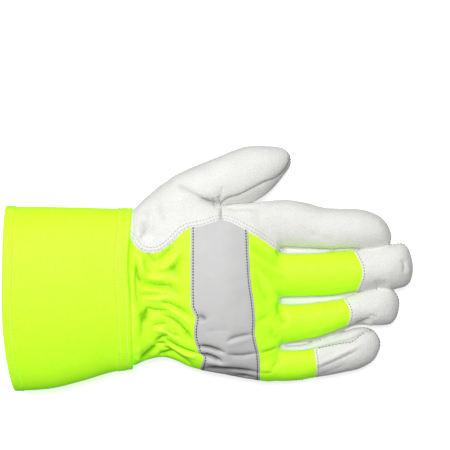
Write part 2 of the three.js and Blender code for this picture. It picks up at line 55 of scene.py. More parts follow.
# Sizes in millimetres, as the CAD model has them
HAND_WALL = 1.5
CUFF_WALL = 1.4
HEM_SWELL = 0.6
SEAM_GAP = 0.3
CUFF_LENGTH = 100
CUFF_WIDTH = 146
CUFF_HEIGHT = 52
JOIN_BAND_WIDTH = 10
TAB_LENGTH = 35
TAB_WIDTH = 56
TAB_CORNER = 12
TAB_ROOT = 104
TAB_LOW = 0.25
TAB_STITCH = 2.2
PALM_LENGTH = 122.4
HAND_HEIGHT = 46
FINGER_GAP = 3.3
FINGER_HEIGHT = 30
FINGER_SWELL = 0.8
FINGER_LENGTHS = {"index": 104, "middle": 121, "ring": 110.4, "little": 95.2}
FINGER_WIDTHS = {"index": 38, "middle": 36.8, "ring": 33.6, "little": 27.2}
THUMB_LENGTH = 113.6
THUMB_WIDTH = 43.2
THUMB_HEIGHT = 37
THUMB_HEADING = math.radians(23.3)
SIDE_SEAM_HEIGHT = 13
SIDE_STRIP_LOW = 7
SIDE_STRIP_HIGH = 20
TAPE_WALL = 0.6

HAND_WIDTH = sum(FINGER_WIDTHS.values()) + 3 * FINGER_GAP
HAND_START = CUFF_LENGTH + SEAM_GAP
TAB_LIFT = (HAND_WALL + SEAM_GAP + HEM_SWELL) / CUFF_HEIGHT
FAR = 2 * HAND_WIDTH

# How far a seam's end is carried past a finger's side, and how flat the tubes lie on the ground
TUCK = 7
FLATTENED = 0.1

# Sections: share of the length, thumb side, little-finger side, underside and top. The cuff's rows
# end with how far its mouth slants on the little finger's side
CUFF_ROWS = [
    (0.00, 0.463, -0.540, 0.000, 1.00, 0.070),
    (0.10, 0.462, -0.541, 0.000, 0.99, 0.066),
    (0.30, 0.461, -0.534, TAB_LIFT / 2, 0.96, 0.040),
    (0.60, 0.456, -0.489, TAB_LIFT, 0.91, 0.010),
    (0.85, 0.451, -0.441, TAB_LIFT, 0.85, 0.000),
    (1.00, 0.449, -0.424, TAB_LIFT, 0.83, 0.000),
]

# The glove's own zero in the model's frame, from the cuff's hem
HEM_OUT = 0.5
hem_low, hem_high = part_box("cuff_hem")
ORIGIN = np.array([hem_low.x / MM, hem_high.y / MM - CUFF_ROWS[0][1] * CUFF_WIDTH - HEM_OUT, 0.0])

HAND_ROWS = [
    (-0.057, 0.430, -0.398, 0.095, 0.84),
    (-0.010, 0.434, -0.402, 0.090, 0.85),
    (0.012, 0.448, -0.414, 0.030, 0.90),
    (0.033, 0.465, -0.402, 0.000, 0.93),
    (0.080, 0.503, -0.385, 0.000, 0.88),
    (0.145, 0.552, -0.370, 0.000, 0.88),
    (0.216, 0.596, -0.364, 0.000, 0.90),
    (0.280, 0.604, -0.380, 0.000, 0.93),
    (0.360, 0.571, -0.412, 0.000, 0.96),
    (0.445, 0.522, -0.432, 0.000, 0.98),
    (0.520, 0.484, -0.445, 0.000, 1.00),
    (0.610, 0.467, -0.459, 0.000, 1.00),
    (0.705, 0.473, -0.475, 0.000, 0.95),
    (0.800, 0.484, -0.489, 0.000, 0.87),
    (0.875, 0.489, -0.500, 0.000, 0.78),
    (0.920, 0.478, -0.497, 0.000, 0.72),
    (0.945, 0.450, -0.470, 0.000, 0.675),
    (0.955, 0.420, -0.445, 0.000, 0.62),
]
FINGER_ROWS = {
    "index": [
        (0.000, 0.460, -0.470, 0.00, 1.08),
        (0.170, 0.500, -0.500, 0.00, 1.02),
        (0.330, 0.450, -0.530, 0.00, 0.98),
        (0.475, 0.340, -0.545, 0.00, 0.96),
        (0.610, 0.320, -0.550, 0.00, 0.94),
        (0.785, 0.290, -0.540, 0.00, 0.90),
        (0.860, 0.225, -0.520, 0.00, 0.86),
        (0.940, 0.080, -0.480, 0.06, 0.74),
        (0.985, -0.110, -0.415, 0.18, 0.58),
        (1.000, -0.240, -0.350, 0.26, 0.48),
    ],
    "middle": [
        (0.000, 0.470, -0.470, 0.00, 1.16),
        (0.150, 0.500, -0.500, 0.00, 1.06),
        (0.320, 0.510, -0.500, 0.00, 1.00),
        (0.450, 0.520, -0.490, 0.00, 0.98),
        (0.620, 0.530, -0.400, 0.00, 0.95),
        (0.750, 0.550, -0.280, 0.00, 0.92),
        (0.870, 0.640, -0.300, 0.00, 0.88),
        (0.930, 0.680, -0.280, 0.05, 0.80),
        (0.967, 0.600, -0.220, 0.12, 0.68),
        (0.993, 0.350, -0.080, 0.22, 0.54),
        (1.000, 0.240, 0.040, 0.28, 0.46),
    ],
    "ring": [
        (0.000, 0.460, -0.460, 0.00, 1.14),
        (0.150, 0.500, -0.500, 0.00, 1.04),
        (0.275, 0.520, -0.460, 0.00, 0.98),
        (0.400, 0.550, -0.390, 0.00, 0.96),
        (0.580, 0.610, -0.180, 0.00, 0.92),
        (0.695, 0.700, -0.040, 0.00, 0.90),
        (0.800, 0.770, -0.055, 0.00, 0.87),
        (0.890, 0.800, -0.055, 0.03, 0.80),
        (0.950, 0.760, 0.000, 0.10, 0.68),
        (0.985, 0.650, 0.180, 0.20, 0.54),
        (1.000, 0.550, 0.370, 0.28, 0.46),
    ],
    "little": [
        (0.000, 0.485, -0.470, 0.00, 1.06),
        (0.175, 0.500, -0.500, 0.00, 0.96),
        (0.320, 0.530, -0.470, 0.00, 0.90),
        (0.445, 0.630, -0.380, 0.00, 0.88),
        (0.570, 0.780, -0.320, 0.00, 0.87),
        (0.700, 0.940, -0.220, 0.00, 0.85),
        (0.800, 1.060, -0.160, 0.00, 0.82),
        (0.890, 1.060, -0.010, 0.04, 0.74),
        (0.960, 0.930, 0.200, 0.14, 0.60),
        (1.000, 0.710, 0.500, 0.26, 0.46),
    ],
}
THUMB_ROWS = [
    (0.000, 0.260, -0.200, 0.00, 0.70),
    (0.140, 0.480, -0.330, 0.00, 0.94),
    (0.280, 0.520, -0.390, 0.00, 1.00),
    (0.400, 0.520, -0.410, 0.00, 1.00),
    (0.490, 0.513, -0.440, 0.00, 0.98),
    (0.580, 0.510, -0.487, 0.00, 0.95),
    (0.670, 0.505, -0.490, 0.00, 0.91),
    (0.760, 0.467, -0.440, 0.00, 0.85),
    (0.860, 0.360, -0.324, 0.02, 0.76),
    (0.935, 0.260, -0.220, 0.09, 0.64),
    (0.980, 0.176, -0.130, 0.18, 0.52),
    (1.000, 0.065, -0.028, 0.26, 0.44),
]

# Seams in plan, as shares of the palm's length and the hand's width
THUMB_CORNER = (0.582, 0.386)
LEATHER_EDGE = [
    (-0.060, 0.330), (0.000, 0.286), (0.036, 0.240), (0.096, 0.213), (0.167, 0.214),
    (0.255, 0.258), (0.353, 0.335), (0.464, 0.357), THUMB_CORNER, (0.762, 0.323), (0.950, 0.219),
]
THUMB_EDGE = [
    (0.575, 0.467), (0.640, 0.480), (0.706, 0.484), (0.810, 0.497), (0.935, 0.522),
    (1.098, 0.577), (1.230, 0.775),
]
THUMB_SEAM_UNDER = [(0.235, 0.690), (0.314, 0.600), (0.444, 0.516)]
CROTCH_ALONG = 0.948
FRONT_SEAM_ALONG = 0.972
STRIP_START_ALONG = 0.905

# The stitched seam on the thumb's back
THUMB_SEAM = [
    (170.6, 67.9), (173.6, 72.1), (186.3, 77.0), (198.2, 83.0), (205.4, 86.9), (214.1, 90.1),
    (222.0, 96.5), (225.2, 102.0), (227.0, 107.5), (232.0, 114.0),
]

# The strips: the two fingers each lies between, how high it shows on the lower one, at its start
# and its end, and the share of the fingers' length where it ends
STRIPS = {
    "side_strip_index_middle": ("index", "middle", 2.0, -1.5, 0.80),
    "side_strip_middle_ring": ("middle", "ring", 2.8, -1.5, 0.80),
    "side_strip_ring_little": ("ring", "little", 1.2, 3.0, 0.86),
}
STRIP_CLOSING = 26
STRIP_PLUMP = 9

# Where the leather tips start, as shares of the finger's length: above, in the middle and below
TIP_SEAMS = {
    "middle": (0.603, 0.655, 0.620),
    "ring": (0.580, 0.630, 0.600),
    "little": (0.420, 0.445, 0.452),
}

# Folds on the back: three places on the fold's line, then its rise and its spread. A crease has
# a rise below zero
FOLDS = [
    # the roll of cloth beside the cuff, and the soft valley that ends it
    (101.6, 34, 101.6, -10, 102.2, -56, 0.9, 1.6),
    (104.3, 28, 103.2, 6, 107.2, -16, -1.5, 1.5),
    (107.2, -16, 109.8, -23, 108.3, -39, -1.3, 2.0),
    # thin creases that meet under the leather's point
    (112.5, 31, 116.5, 27, 120.0, 22.8, -1.4, 0.9),
    (133.5, 36.8, 127.0, 30.5, 120.0, 24.0, -1.2, 0.9),
    # the first gather: a rope of cloth that turns from the cuff towards the band
    (108.5, 29, 108.6, 20, 113.5, 12.2, 1.4, 2.0),
    (113.5, 12.2, 119.0, 10.2, 128.0, 10.3, 1.5, 2.0),
    (104.9, 22, 105.8, 13, 112.5, 7.2, -1.9, 1.2),
    (109.0, 8.6, 119.0, 5.4, 134.0, 5.2, -2.0, 1.8),
    (112.7, 27.6, 112.4, 19, 117.0, 13.8, -1.0, 1.1),
    # the second, that falls from the band's side
    (137.2, 31.5, 131.0, 21.5, 120.0, 17.3, 1.6, 2.2),
    (140.5, 30, 136.0, 21.5, 127.0, 15.6, -1.3, 1.9),
    (129.0, 19.0, 134.5, 16.0, 136.5, 8.0, -1.1, 3.0),
    (128.0, 4.5, 133.5, 1.5, 138.0, -5.0, -1.2, 3.0),
    # rounded ends of the gathers, with notches between them
    (109.0, 1.6, 118.0, 1.0, 129.5, -1.4, 1.2, 1.9),
    (107.0, -1.8, 115.0, -2.1, 125.0, -2.6, -1.0, 1.0),
    (110.0, -5.4, 119.0, -5.4, 131.5, -5.8, 1.2, 1.9),
    (123.4, -8.6, 134.0, -10.6, 149.2, -20.2, -1.7, 1.2),
    (111.7, -11.7, 120.0, -14.3, 131.8, -14.3, -1.5, 1.0),
    (112.5, -11.7, 112.1, -19.0, 110.4, -26.0, -1.9, 1.3),
    (126.0, -13.2, 137.0, -17.0, 148.0, -27.5, 1.0, 2.0),
    (123.4, -17.7, 138.0, -25.5, 147.6, -39.3, -1.5, 1.3),
    (142.7, -31.2, 145.5, -35.0, 148.0, -41.0, -0.8, 1.8),
    (116.7, -26.9, 123.0, -25.6, 130.1, -25.3, -1.1, 1.0),
    (124.3, -27.8, 132.7, -32.8, 139.4, -35.3, -1.3, 1.1),
    (118.0, -31.0, 128.0, -31.6, 140.0, -40.0, 1.2, 2.2),
    # the knot of creases at the little finger's side
    (125.1, -35.3, 138.0, -44.5, 155.5, -49.7, -2.3, 1.1),
    (128.0, -40.2, 138.5, -47.3, 152.0, -52.6, 1.2, 1.7),
    (118.4, -42.0, 124.3, -36.1, 130.1, -35.0, -2.0, 1.1),
    (119.0, -42.0, 123.0, -41.6, 128.0, -41.2, -1.9, 1.0),
    (124.3, -42.9, 137.0, -50.5, 149.0, -59.5, -1.9, 1.2),
    (120.0, -42.0, 114.2, -49.5, 106.5, -55.6, -2.9, 1.8),
    (121.5, -51.0, 127.0, -49.6, 132.5, -47.6, -2.2, 1.2),
    (104.5, -42.0, 106.5, -50.0, 104.0, -58.0, 0.9, 2.0),
    # wrinkles of the band and the cloth under it
    (152.4, -18.7, 156.8, -20.1, 159.1, -23.0, -1.3, 1.5),
    (152.6, -42.9, 163.1, -44.2, 175.2, -48.6, -2.6, 1.1),
    (175.2, -48.6, 187.0, -50.2, 202.0, -47.6, -1.1, 1.3),
    (154.0, -49.2, 164.2, -51.6, 173.0, -56.4, -3.2, 1.0),
    (158.0, -55.0, 168.0, -56.6, 180.0, -59.0, 0.9, 2.0),
    (157.0, -61.4, 177.6, -62.8, 203.0, -64.8, -3.4, 1.5),
    (162.0, -66.0, 180.0, -67.8, 203.0, -69.5, -1.6, 1.5),
    (175.2, -39.1, 184.5, -35.1, 199.0, -33.1, -1.1, 1.4),
    (174.0, -42.5, 185.0, -39.0, 197.0, -36.8, 0.35, 2.0),
    (158.0, -32.0, 168.0, -30.0, 180.0, -31.0, -0.35, 2.6),
    # soft folds between the band and the knuckles
    (194.5, 39.0, 207.3, 27.0, 226.0, 17.4, -0.9, 2.0),
    (196.5, 43.5, 208.0, 33.5, 222.0, 26.0, 0.6, 2.2),
    (196.8, 27.2, 209.4, 14.6, 224.0, 7.6, -0.9, 2.0),
    (197.0, 33.0, 208.0, 20.5, 224.0, 12.5, 0.6, 2.2),
    (198.9, 14.6, 204.5, 0.5, 211.5, -10.7, -0.8, 2.4),
    (199.5, 22.0, 207.0, 8.0, 215.0, -3.0, 0.5, 2.4),
    (214.3, 32.8, 216.0, 30.7, 218.5, 28.0, -1.0, 0.9),
    (216.0, -7.6, 219.3, -19.1, 222.4, -29.0, -1.4, 2.1),
    (222.0, -11.0, 225.0, -20.0, 228.0, -28.0, 0.6, 2.4),
    (200.3, -25.5, 205.2, -20.8, 211.0, -22.0, -0.7, 2.0),
    (210.0, -29.5, 213.4, -35.1, 218.0, -38.5, -0.7, 2.2),
    (202.0, -48.2, 210.8, -46.9, 217.0, -44.0, -1.2, 1.1),
    (211.0, -64.0, 216.2, -55.2, 218.6, -50.0, -1.1, 2.2),
    (203.0, -65.0, 208.0, -65.2, 213.0, -64.0, -0.5, 1.4),
    # leather: the crease at the thumb's root and its puckers
    (133.5, 86.5, 145.0, 79.5, 160.0, 71.6, -1.2, 2.1),
    (152.0, 75.0, 163.0, 70.0, 171.0, 67.0, -2.0, 1.5),
    (164.0, 74.5, 166.2, 71.0, 168.3, 68.2, -1.5, 0.9),
    (169.0, 76.0, 170.3, 72.0, 171.0, 68.5, -1.5, 0.9),
    (159.0, 74.2, 161.3, 72.2, 164.0, 69.8, -1.0, 0.9),
    (172.5, 84.0, 171.8, 78.0, 171.6, 72.0, -0.6, 1.8),
    # leather: the dent beside the cuff, and the wrist's soft folds
    (107.5, 57.0, 111.5, 50.0, 108.5, 42.0, -1.2, 1.7),
    (104.0, 53.0, 106.0, 47.0, 105.6, 41.0, 0.8, 1.8),
    (112.5, 64.0, 116.5, 56.0, 114.5, 46.0, 1.0, 2.6),
    (108.5, 66.0, 112.0, 62.0, 118.0, 60.5, -0.5, 1.9),
    (118.0, 71.0, 124.0, 61.0, 123.0, 52.0, -0.6, 2.6),
    # leather: over the knuckle and the index finger
    (172.0, 66.8, 186.0, 65.5, 206.0, 66.0, -0.7, 1.6),
    (174.0, 65.0, 192.0, 60.5, 214.0, 56.0, -0.3, 1.8),
    (184.0, 63.2, 200.0, 60.5, 222.0, 58.5, 0.4, 2.0),
    (240.0, 47.0, 252.0, 43.0, 262.0, 40.0, -0.3, 2.4),
    (232.0, 54.0, 240.0, 48.0, 246.0, 40.0, -0.3, 2.4),
    # leather: the fingertips' puckers and ridges
    (314.0, 25.5, 317.2, 20.5, 316.2, 13.5, -0.7, 1.2),
    (318.0, 23.5, 320.6, 18.5, 319.6, 12.5, 0.4, 1.3),
    (292.5, 8.6, 295.5, 6.2, 297.5, 2.6, -0.7, 0.9),
    (296.5, 10.0, 298.6, 7.0, 300.4, 3.4, -0.5, 0.9),
    (300.5, 9.4, 302.0, 7.0, 303.0, 4.0, -0.6, 0.9),
    (278.0, -27.2, 284.6, -24.2, 291.5, -21.6, -1.7, 1.4),
    (284.0, -29.2, 289.0, -27.6, 294.0, -27.0, 0.7, 1.7),
    (288.5, -19.8, 292.5, -19.6, 296.5, -21.4, -0.6, 1.2),
    (246.0, -59.6, 264.0, -51.4, 283.0, -42.4, 0.9, 1.8),
    (246.0, -62.4, 264.0, -54.6, 282.0, -46.8, -0.5, 1.7),
    (247.0, -67.5, 258.0, -64.0, 272.0, -57.5, -0.4, 1.8),
]
FOLD_GAIN = 1.25
FOLD_STEPS = 9
FOLD_REACH = 7
FOLD_ENDS = (-0.06, 0.3)
ROLL_SHARPNESS, CREASE_SHARPNESS = 2.0, 1.4

# A wide low skirt under each fold, and the painted shade of the sharpest creases: a thin dark line
SKIRT_SHARE, SKIRT_WIDTH = 0.3, 2.8
WIDEST_CREASE, DEEPEST_CREASE, CREASE_HALF = 1.6, 2.0, 0.6

# Folds fade where the skin turns from upwards to sideways
FOLDS_FACE_UP = (-0.1, 0.45)

# The loose lumps of leather and cloth, and of the cuff: rise, size and seed
LUMPS = [(0.35, 11, 1), (0.2, 5, 2)]
CUFF_LUMPS = [(0.3, 34, 5), (0.12, 12, 6)]

# The reflective band's two edges
TAPE_LEFT = [
    (147.0, 62.0), (147.2, 49.4), (147.2, 16.6), (147.4, -6.2), (147.7, -11.7), (151.0, -19.6),
    (149.8, -29.0), (150.4, -38.5), (152.1, -43.2), (153.9, -49.2), (156.2, -50.7), (154.6, -62.4),
    (156.0, -80.0),
]
TAPE_RIGHT = [
    (192.6, 62.0), (192.9, 46.9), (193.5, 30.0), (195.4, 3.6), (196.9, -6.2), (198.3, -22.4),
    (198.0, -32.8), (199.7, -42.0), (201.0, -46.6), (202.0, -55.6), (202.2, -70.8), (203.0, -86.0),
]

# How fine the tubes and the skin are, and how much the skin's joins are softened
RING_STEPS = 96
BODY_SECTIONS, TIP_SECTIONS = 44, 24
TIP_START = 0.86
VOXEL = 0.86
SOFTEN_ROUNDS = 20

# Fold crests and hollows get painted highlight and painted shade, by their height against the surface
# around them
RELIEF_EASE, RELIEF_ROUNDS = 4, 80
RELIEF_HEIGHT = 1.5
HOLLOW_SHARE, HOLLOW_POWER = 0.75, 1.4
# Painted shade along the seams: how strong, and how wide
SEAM_SHADE, SEAM_SHADE_WIDTH = 0.8, 0.8

# The skin starts inside the cuff, where it is cut open
SKIN_START = 94.5

# Leather lies over the cloth, which runs on a little under it
LEATHER_LIFT = 0.6
LIFT_EASE = 4
STRIP_LIFT = 0.2
TAPE_LIFT = 0.3
CLOTH_RUN_ON = 1.5

# Sewn edges draw each piece in, cut edges are only a little rounded
CLOTH_DIP, CLOTH_SPREAD = 0.9, 1.5
LEATHER_DIP, LEATHER_SPREAD = 1.0, 1.4
CUT_EDGE_DIP, CUT_EDGE_SPREAD = 0.3, 0.7


def curve_through(rows, at):
    """Values of a smooth curve through rows of (key, values) at the given keys."""
    rows = np.asarray(rows, float)
    keys, values = rows[:, 0], rows[:, 1:]
    slopes = np.gradient(values, keys, axis=0)
    at = np.clip(np.atleast_1d(at), keys[0], keys[-1])
    n = np.clip(np.searchsorted(keys, at, side="right") - 1, 0, len(keys) - 2)
    step = keys[n + 1] - keys[n]
    t = ((at - keys[n]) / step)[:, None]
    step = step[:, None]
    return (
        (2 * t**3 - 3 * t**2 + 1) * values[n]
        + (t**3 - 2 * t**2 + t) * step * slopes[n]
        + (3 * t**2 - 2 * t**3) * values[n + 1]
        + (t**3 - t**2) * step * slopes[n + 1]
    )


def smooth_line(points, step=2.0):
    """A polyline through the points, rounded between them."""
    points = np.asarray(points, float)
    lengths = np.hypot(*np.diff(points, axis=0).T)
    keys = np.concatenate([[0], np.cumsum(lengths)])
    count = max(2, int(keys[-1] / step) + 1)
    return curve_through(np.column_stack([keys, points]), np.linspace(0, keys[-1], count))


def smoothstep(value, low, high):
    """Eases from 0 at the low value to 1 at the high one."""
    t = np.clip((value - low) / (high - low), 0, 1)
    return t * t * (3 - 2 * t)


def hand_point(along, across):
    """A place in plan from shares of the palm's length and the hand's width."""
    return (HAND_START + along * PALM_LENGTH, across * HAND_WIDTH)


def line_in_hand(places):
    return smooth_line([hand_point(*place) for place in places])


# The tubes that make up the form
def tube(origin, length, width, height, rows, heading=0.0, roundness=2.1, swell=(0, 0)):
    return {
        "origin": np.array(origin), "length": length, "width": width, "height": height,
        "rows": np.array(rows), "heading": heading, "roundness": roundness, "swell": swell,
    }


def finger(name):
    """A finger's tube. Its sides that face another finger swell a little towards it."""
    names = list(FINGER_WIDTHS)
    before = sum(FINGER_WIDTHS[other] + FINGER_GAP for other in names[:names.index(name)])
    middle = HAND_WIDTH / 2 - before - FINGER_WIDTHS[name] / 2
    root = (hand_point(0.85, 0)[0], middle)
    swell = (FINGER_SWELL * (name != "index"), FINGER_SWELL * (name != "little"))
    return tube(root, FINGER_LENGTHS[name], FINGER_WIDTHS[name], FINGER_HEIGHT, FINGER_ROWS[name],
                swell=swell)


CUFF = tube((0, 0), CUFF_LENGTH, CUFF_WIDTH, CUFF_HEIGHT, CUFF_ROWS, roundness=2.15)
HAND = tube((HAND_START, 0), PALM_LENGTH, HAND_WIDTH, HAND_HEIGHT, HAND_ROWS, roundness=2.35)
THUMB = tube(hand_point(0.183, 0.434), THUMB_LENGTH, THUMB_WIDTH, THUMB_HEIGHT, THUMB_ROWS,
             THUMB_HEADING)
FINGERS = {name: finger(name) for name in FINGER_WIDTHS}


def rounded_share(value, roundness):
    return np.sign(value) * np.abs(value) ** (2 / roundness)


def section(form, along, angles, grow=0.0):
    """The points round a tube at a share of its length, at the given angles."""
    shares = curve_through(form["rows"], along)[0]
    thumb_side, little_side, under, top = shares[:4]
    slant = shares[4] if len(shares) > 4 else 0.0
    under = max(0.0, under * form["height"] - grow)
    top = top * form["height"] + grow
    low = under - FLATTENED * (top - under)
    side = rounded_share(np.cos(angles), form["roundness"])
    rise = rounded_share(np.sin(angles), form["roundness"])
    thumb_more, little_more = np.array(form["swell"]) * (1 - along**4)
    half = (thumb_side - little_side) / 2 * form["width"] + grow + (thumb_more + little_more) / 2
    middle = (thumb_side + little_side) / 2 * form["width"] + (thumb_more - little_more) / 2
    across = middle + side * half
    place = along * form["length"] + slant * form["length"] * np.clip(-side, 0, None) ** 2
    turn = form["heading"]
    x = form["origin"][0] + place * math.cos(turn) - across * math.sin(turn)
    y = form["origin"][1] + place * math.sin(turn) + across * math.cos(turn)
    z = np.maximum(under, (top + low) / 2 + rise * (top - low) / 2)
    return np.column_stack([x, y, z])


def ring_faces(rings, count, closed=False):
    """Quads between rings of points, each ring with count points."""
    quads = []
    for r in range(rings if closed else rings - 1):
        here, there = r * count, (r + 1) % rings * count
        for i in range(count):
            j = (i + 1) % count
            quads.append((here + i, here + j, there + j, there + i))
    return quads


def closed_tube(form):
    """A tube's sections joined to a closed form."""
    first, last = form["rows"][0, 0], form["rows"][-1, 0]
    bend = first + TIP_START * (last - first)
    stations = np.concatenate([np.linspace(first, bend, BODY_SECTIONS),
                               np.linspace(bend, last, TIP_SECTIONS)[1:]])
    angles = np.arange(RING_STEPS) * 2 * math.pi / RING_STEPS
    rings = [section(form, along, angles) for along in stations]
    faces = ring_faces(len(rings), RING_STEPS)
    start = len(rings) * RING_STEPS
    faces += [(start, (i + 1) % RING_STEPS, i) for i in range(RING_STEPS)]
    end = start - RING_STEPS
    faces += [(start + 1, end + i, end + (i + 1) % RING_STEPS) for i in range(RING_STEPS)]
    middles = [rings[0].mean(axis=0), rings[-1].mean(axis=0)]
    return np.vstack(rings + [middles]), faces


# Mesh objects
def new_object(name, points, faces, material=None):
    """A smooth mesh object from places in the glove's own millimetres."""
    mesh = bpy.data.meshes.new(name)
    mesh.from_pydata(((points + ORIGIN) * MM).tolist(), [], [tuple(face) for face in faces])
    mesh.update()
    mesh.shade_smooth()
    if material:
        mesh.materials.append(material)
    made = bpy.data.objects.new(name, mesh)
    bpy.context.scene.collection.objects.link(made)
    return made


def select_only(*chosen):
    """Selects the given objects alone, and makes the first of them active."""
    for other in bpy.context.selected_objects:
        other.select_set(False)
    for made in chosen:
        made.select_set(True)
    bpy.context.view_layer.objects.active = chosen[0] if chosen else None


def apply_modifier(made, kind, **settings):
    select_only(made)
    modifier = made.modifiers.new(kind.title(), kind)
    for name, value in settings.items():
        setattr(modifier, name, value)
    bpy.ops.object.modifier_apply(modifier=modifier.name)
    made.select_set(False)


def outer_skin():
    """The hand, fingers and thumb as one closed surface of small triangles."""
    points, faces = [], []
    for form in [HAND, THUMB, *FINGERS.values()]:
        start = sum(len(part) for part in points)
        tube_points, tube_faces = closed_tube(form)
        points.append(tube_points)
        faces += [tuple(start + i for i in face) for face in tube_faces]
    solid = new_object("skin", np.vstack(points), faces)
    apply_modifier(solid, "REMESH", mode="VOXEL", voxel_size=VOXEL * MM)
    mesh = solid.data
    mesh.calc_loop_triangles()
    points = np.empty(len(mesh.vertices) * 3)
    mesh.vertices.foreach_get("co", points)
    triangles = np.empty(len(mesh.loop_triangles) * 3, dtype=np.int64)
    mesh.loop_triangles.foreach_get("vertices", triangles)
    bpy.data.objects.remove(solid)
    return points.reshape(-1, 3) / MM - ORIGIN, triangles.reshape(-1, 3)


def neighbours_mean(points, triangles):
    """Each point's neighbours, averaged, as a function of the points."""
    ends = np.vstack([triangles[:, [0, 1]], triangles[:, [1, 2]], triangles[:, [2, 0]]])
    ends = np.unique(np.sort(ends, axis=1), axis=0)
    here = np.concatenate([ends[:, 0], ends[:, 1]])
    there = np.concatenate([ends[:, 1], ends[:, 0]])
    number = np.maximum(np.bincount(here, minlength=len(points)), 1)

    def mean(values):
        sums = [np.bincount(here, values[there, k], len(points)) for k in range(values.shape[1])]
        return np.column_stack(sums) / number[:, None]

    return mean


def softened(points, triangles, rounds):
    """The surface with its hard joins and voxel steps smoothed, kept on the ground."""
    mean = neighbours_mean(points, triangles)
    flat = points[:, 2] < 0.3
    for _ in range(rounds):
        points = points + 0.5 * (mean(points) - points)
    points = points.copy()
    points[flat, 2] = np.minimum(points[flat, 2], 0.0)
    points[:, 2] = np.maximum(points[:, 2], 0.0)
    return points


def normals_of(points, triangles):
    """The surface's direction at each point, averaged over the triangles that meet there."""
    a, b, c = (points[triangles[:, k]] for k in range(3))
    across = np.cross(b - a, c - a)
    corners = triangles.ravel()
    spread = np.repeat(across, 3, axis=0)
    sums = np.column_stack([np.bincount(corners, spread[:, k], len(points)) for k in range(3)])
    return sums / np.maximum(np.linalg.norm(sums, axis=1), 1e-9)[:, None]


# Distances in plan
def line_distance(places, line):
    """Distance of each place from a polyline, and how far along it the nearest point lies."""
    best = np.full(len(places), np.inf)
    share = np.zeros(len(places))
    for n in range(len(line) - 1):
        start, way = line[n], line[n + 1] - line[n]
        t = np.clip((places - start) @ way / max(way @ way, 1e-9), 0, 1)
        away = np.hypot(*(places - start - t[:, None] * way).T)
        nearer = away < best
        best[nearer] = away[nearer]
        share[nearer] = (n + t[nearer]) / (len(line) - 1)
    return best, share


def inside_distance(places, outline):
    """Distance in from an outline, below zero outside it."""
    outline = np.asarray(outline)
    around = np.vstack([outline, outline[:1]])
    away, _ = line_distance(places, around)
    inside = np.zeros(len(places), dtype=bool)
    x, y = places.T
    for (x0, y0), (x1, y1) in zip(around[:-1], around[1:]):
        if y0 == y1:
            continue
        crosses = (y0 > y) != (y1 > y)
        inside ^= crosses & (x < x0 + (y - y0) * (x1 - x0) / (y1 - y0))
    return np.where(inside, away, -away)


# Outlines of the sewn pieces in plan
def tube_edge(form, x, column):
    """Where a finger's side lies at x. Column 0 is the thumb's side, 1 the little finger's."""
    shares = curve_through(form["rows"], (x - form["origin"][0]) / form["length"])
    return form["origin"][1] + shares[0, column] * form["width"]


def gap_line(upper, lower):
    """The line between two fingers, from the crotch out past both tips."""
    tips = [form["origin"][0] + form["length"] for form in (upper, lower)]
    line = []
    for x in np.arange(hand_point(CROTCH_ALONG, 0)[0], max(tips) + TUCK, 2.0):
        above = tube_edge(upper, x, 1)
        below = tube_edge(lower, x, 0)
        y = (above + below) / 2
        if x > tips[0] + 2:
            y = max(y, below + TUCK)
        if x > tips[1] + 2:
            y = min(y, above - TUCK)
        line.append((x, y))
    return np.array(line)


INDEX, MIDDLE, RING, LITTLE = (FINGERS[name] for name in ("index", "middle", "ring", "little"))
INDEX_MIDDLE_GAP = gap_line(INDEX, MIDDLE)
MIDDLE_RING_GAP = gap_line(MIDDLE, RING)
RING_LITTLE_GAP = gap_line(RING, LITTLE)
LITTLE_SIDE = np.array([(hand_point(CROTCH_ALONG, 0)[0], -FAR), (hand_point(3, 0)[0], -FAR)])


def tip_seam(name, upper_line, lower_line):
    """Across a finger's back, where its leather tip starts, curved towards the tip."""
    form = FINGERS[name]
    xs = [form["origin"][0] + share * form["length"] for share in TIP_SEAMS[name]]
    top = np.interp(xs[0], *upper_line.T)
    middle = (np.interp(xs[1], *upper_line.T) + tube_edge(form, xs[1], 1)) / 2
    low = np.interp(xs[2], *lower_line.T)
    if name == "little":
        low = tube_edge(form, xs[2], 1) - TUCK
    return smooth_line([(xs[0], top), (xs[1], middle), (xs[2], low)], 1.0)


TIP_LINES = {
    "middle_tip": tip_seam("middle", INDEX_MIDDLE_GAP, MIDDLE_RING_GAP),
    "ring_tip": tip_seam("ring", MIDDLE_RING_GAP, RING_LITTLE_GAP),
    "little_tip": tip_seam("little", RING_LITTLE_GAP, LITTLE_SIDE),
}


def beyond(line, x):
    return line[line[:, 0] > x + 0.5]


def tip_outline(name, upper_line, lower_line):
    seam = TIP_LINES[name]
    upper = beyond(upper_line, seam[0, 0])
    lower = beyond(lower_line, seam[-1, 0])
    return np.vstack([upper, lower[::-1], seam[::-1]])


def strip_outline(upper, lower, end_share):
    """The facing side walls of two fingers and the web that joins them."""
    start = hand_point(STRIP_START_ALONG, 0)[0]
    sides = []
    for form in (upper, lower):
        first = (start - form["origin"][0]) / form["length"]
        xs = form["origin"][0] + form["length"] * np.linspace(first, end_share, 12)
        sides.append([(x, (tube_edge(form, x, 0) + tube_edge(form, x, 1)) / 2) for x in xs])
    return np.array(sides[0] + sides[1][::-1])


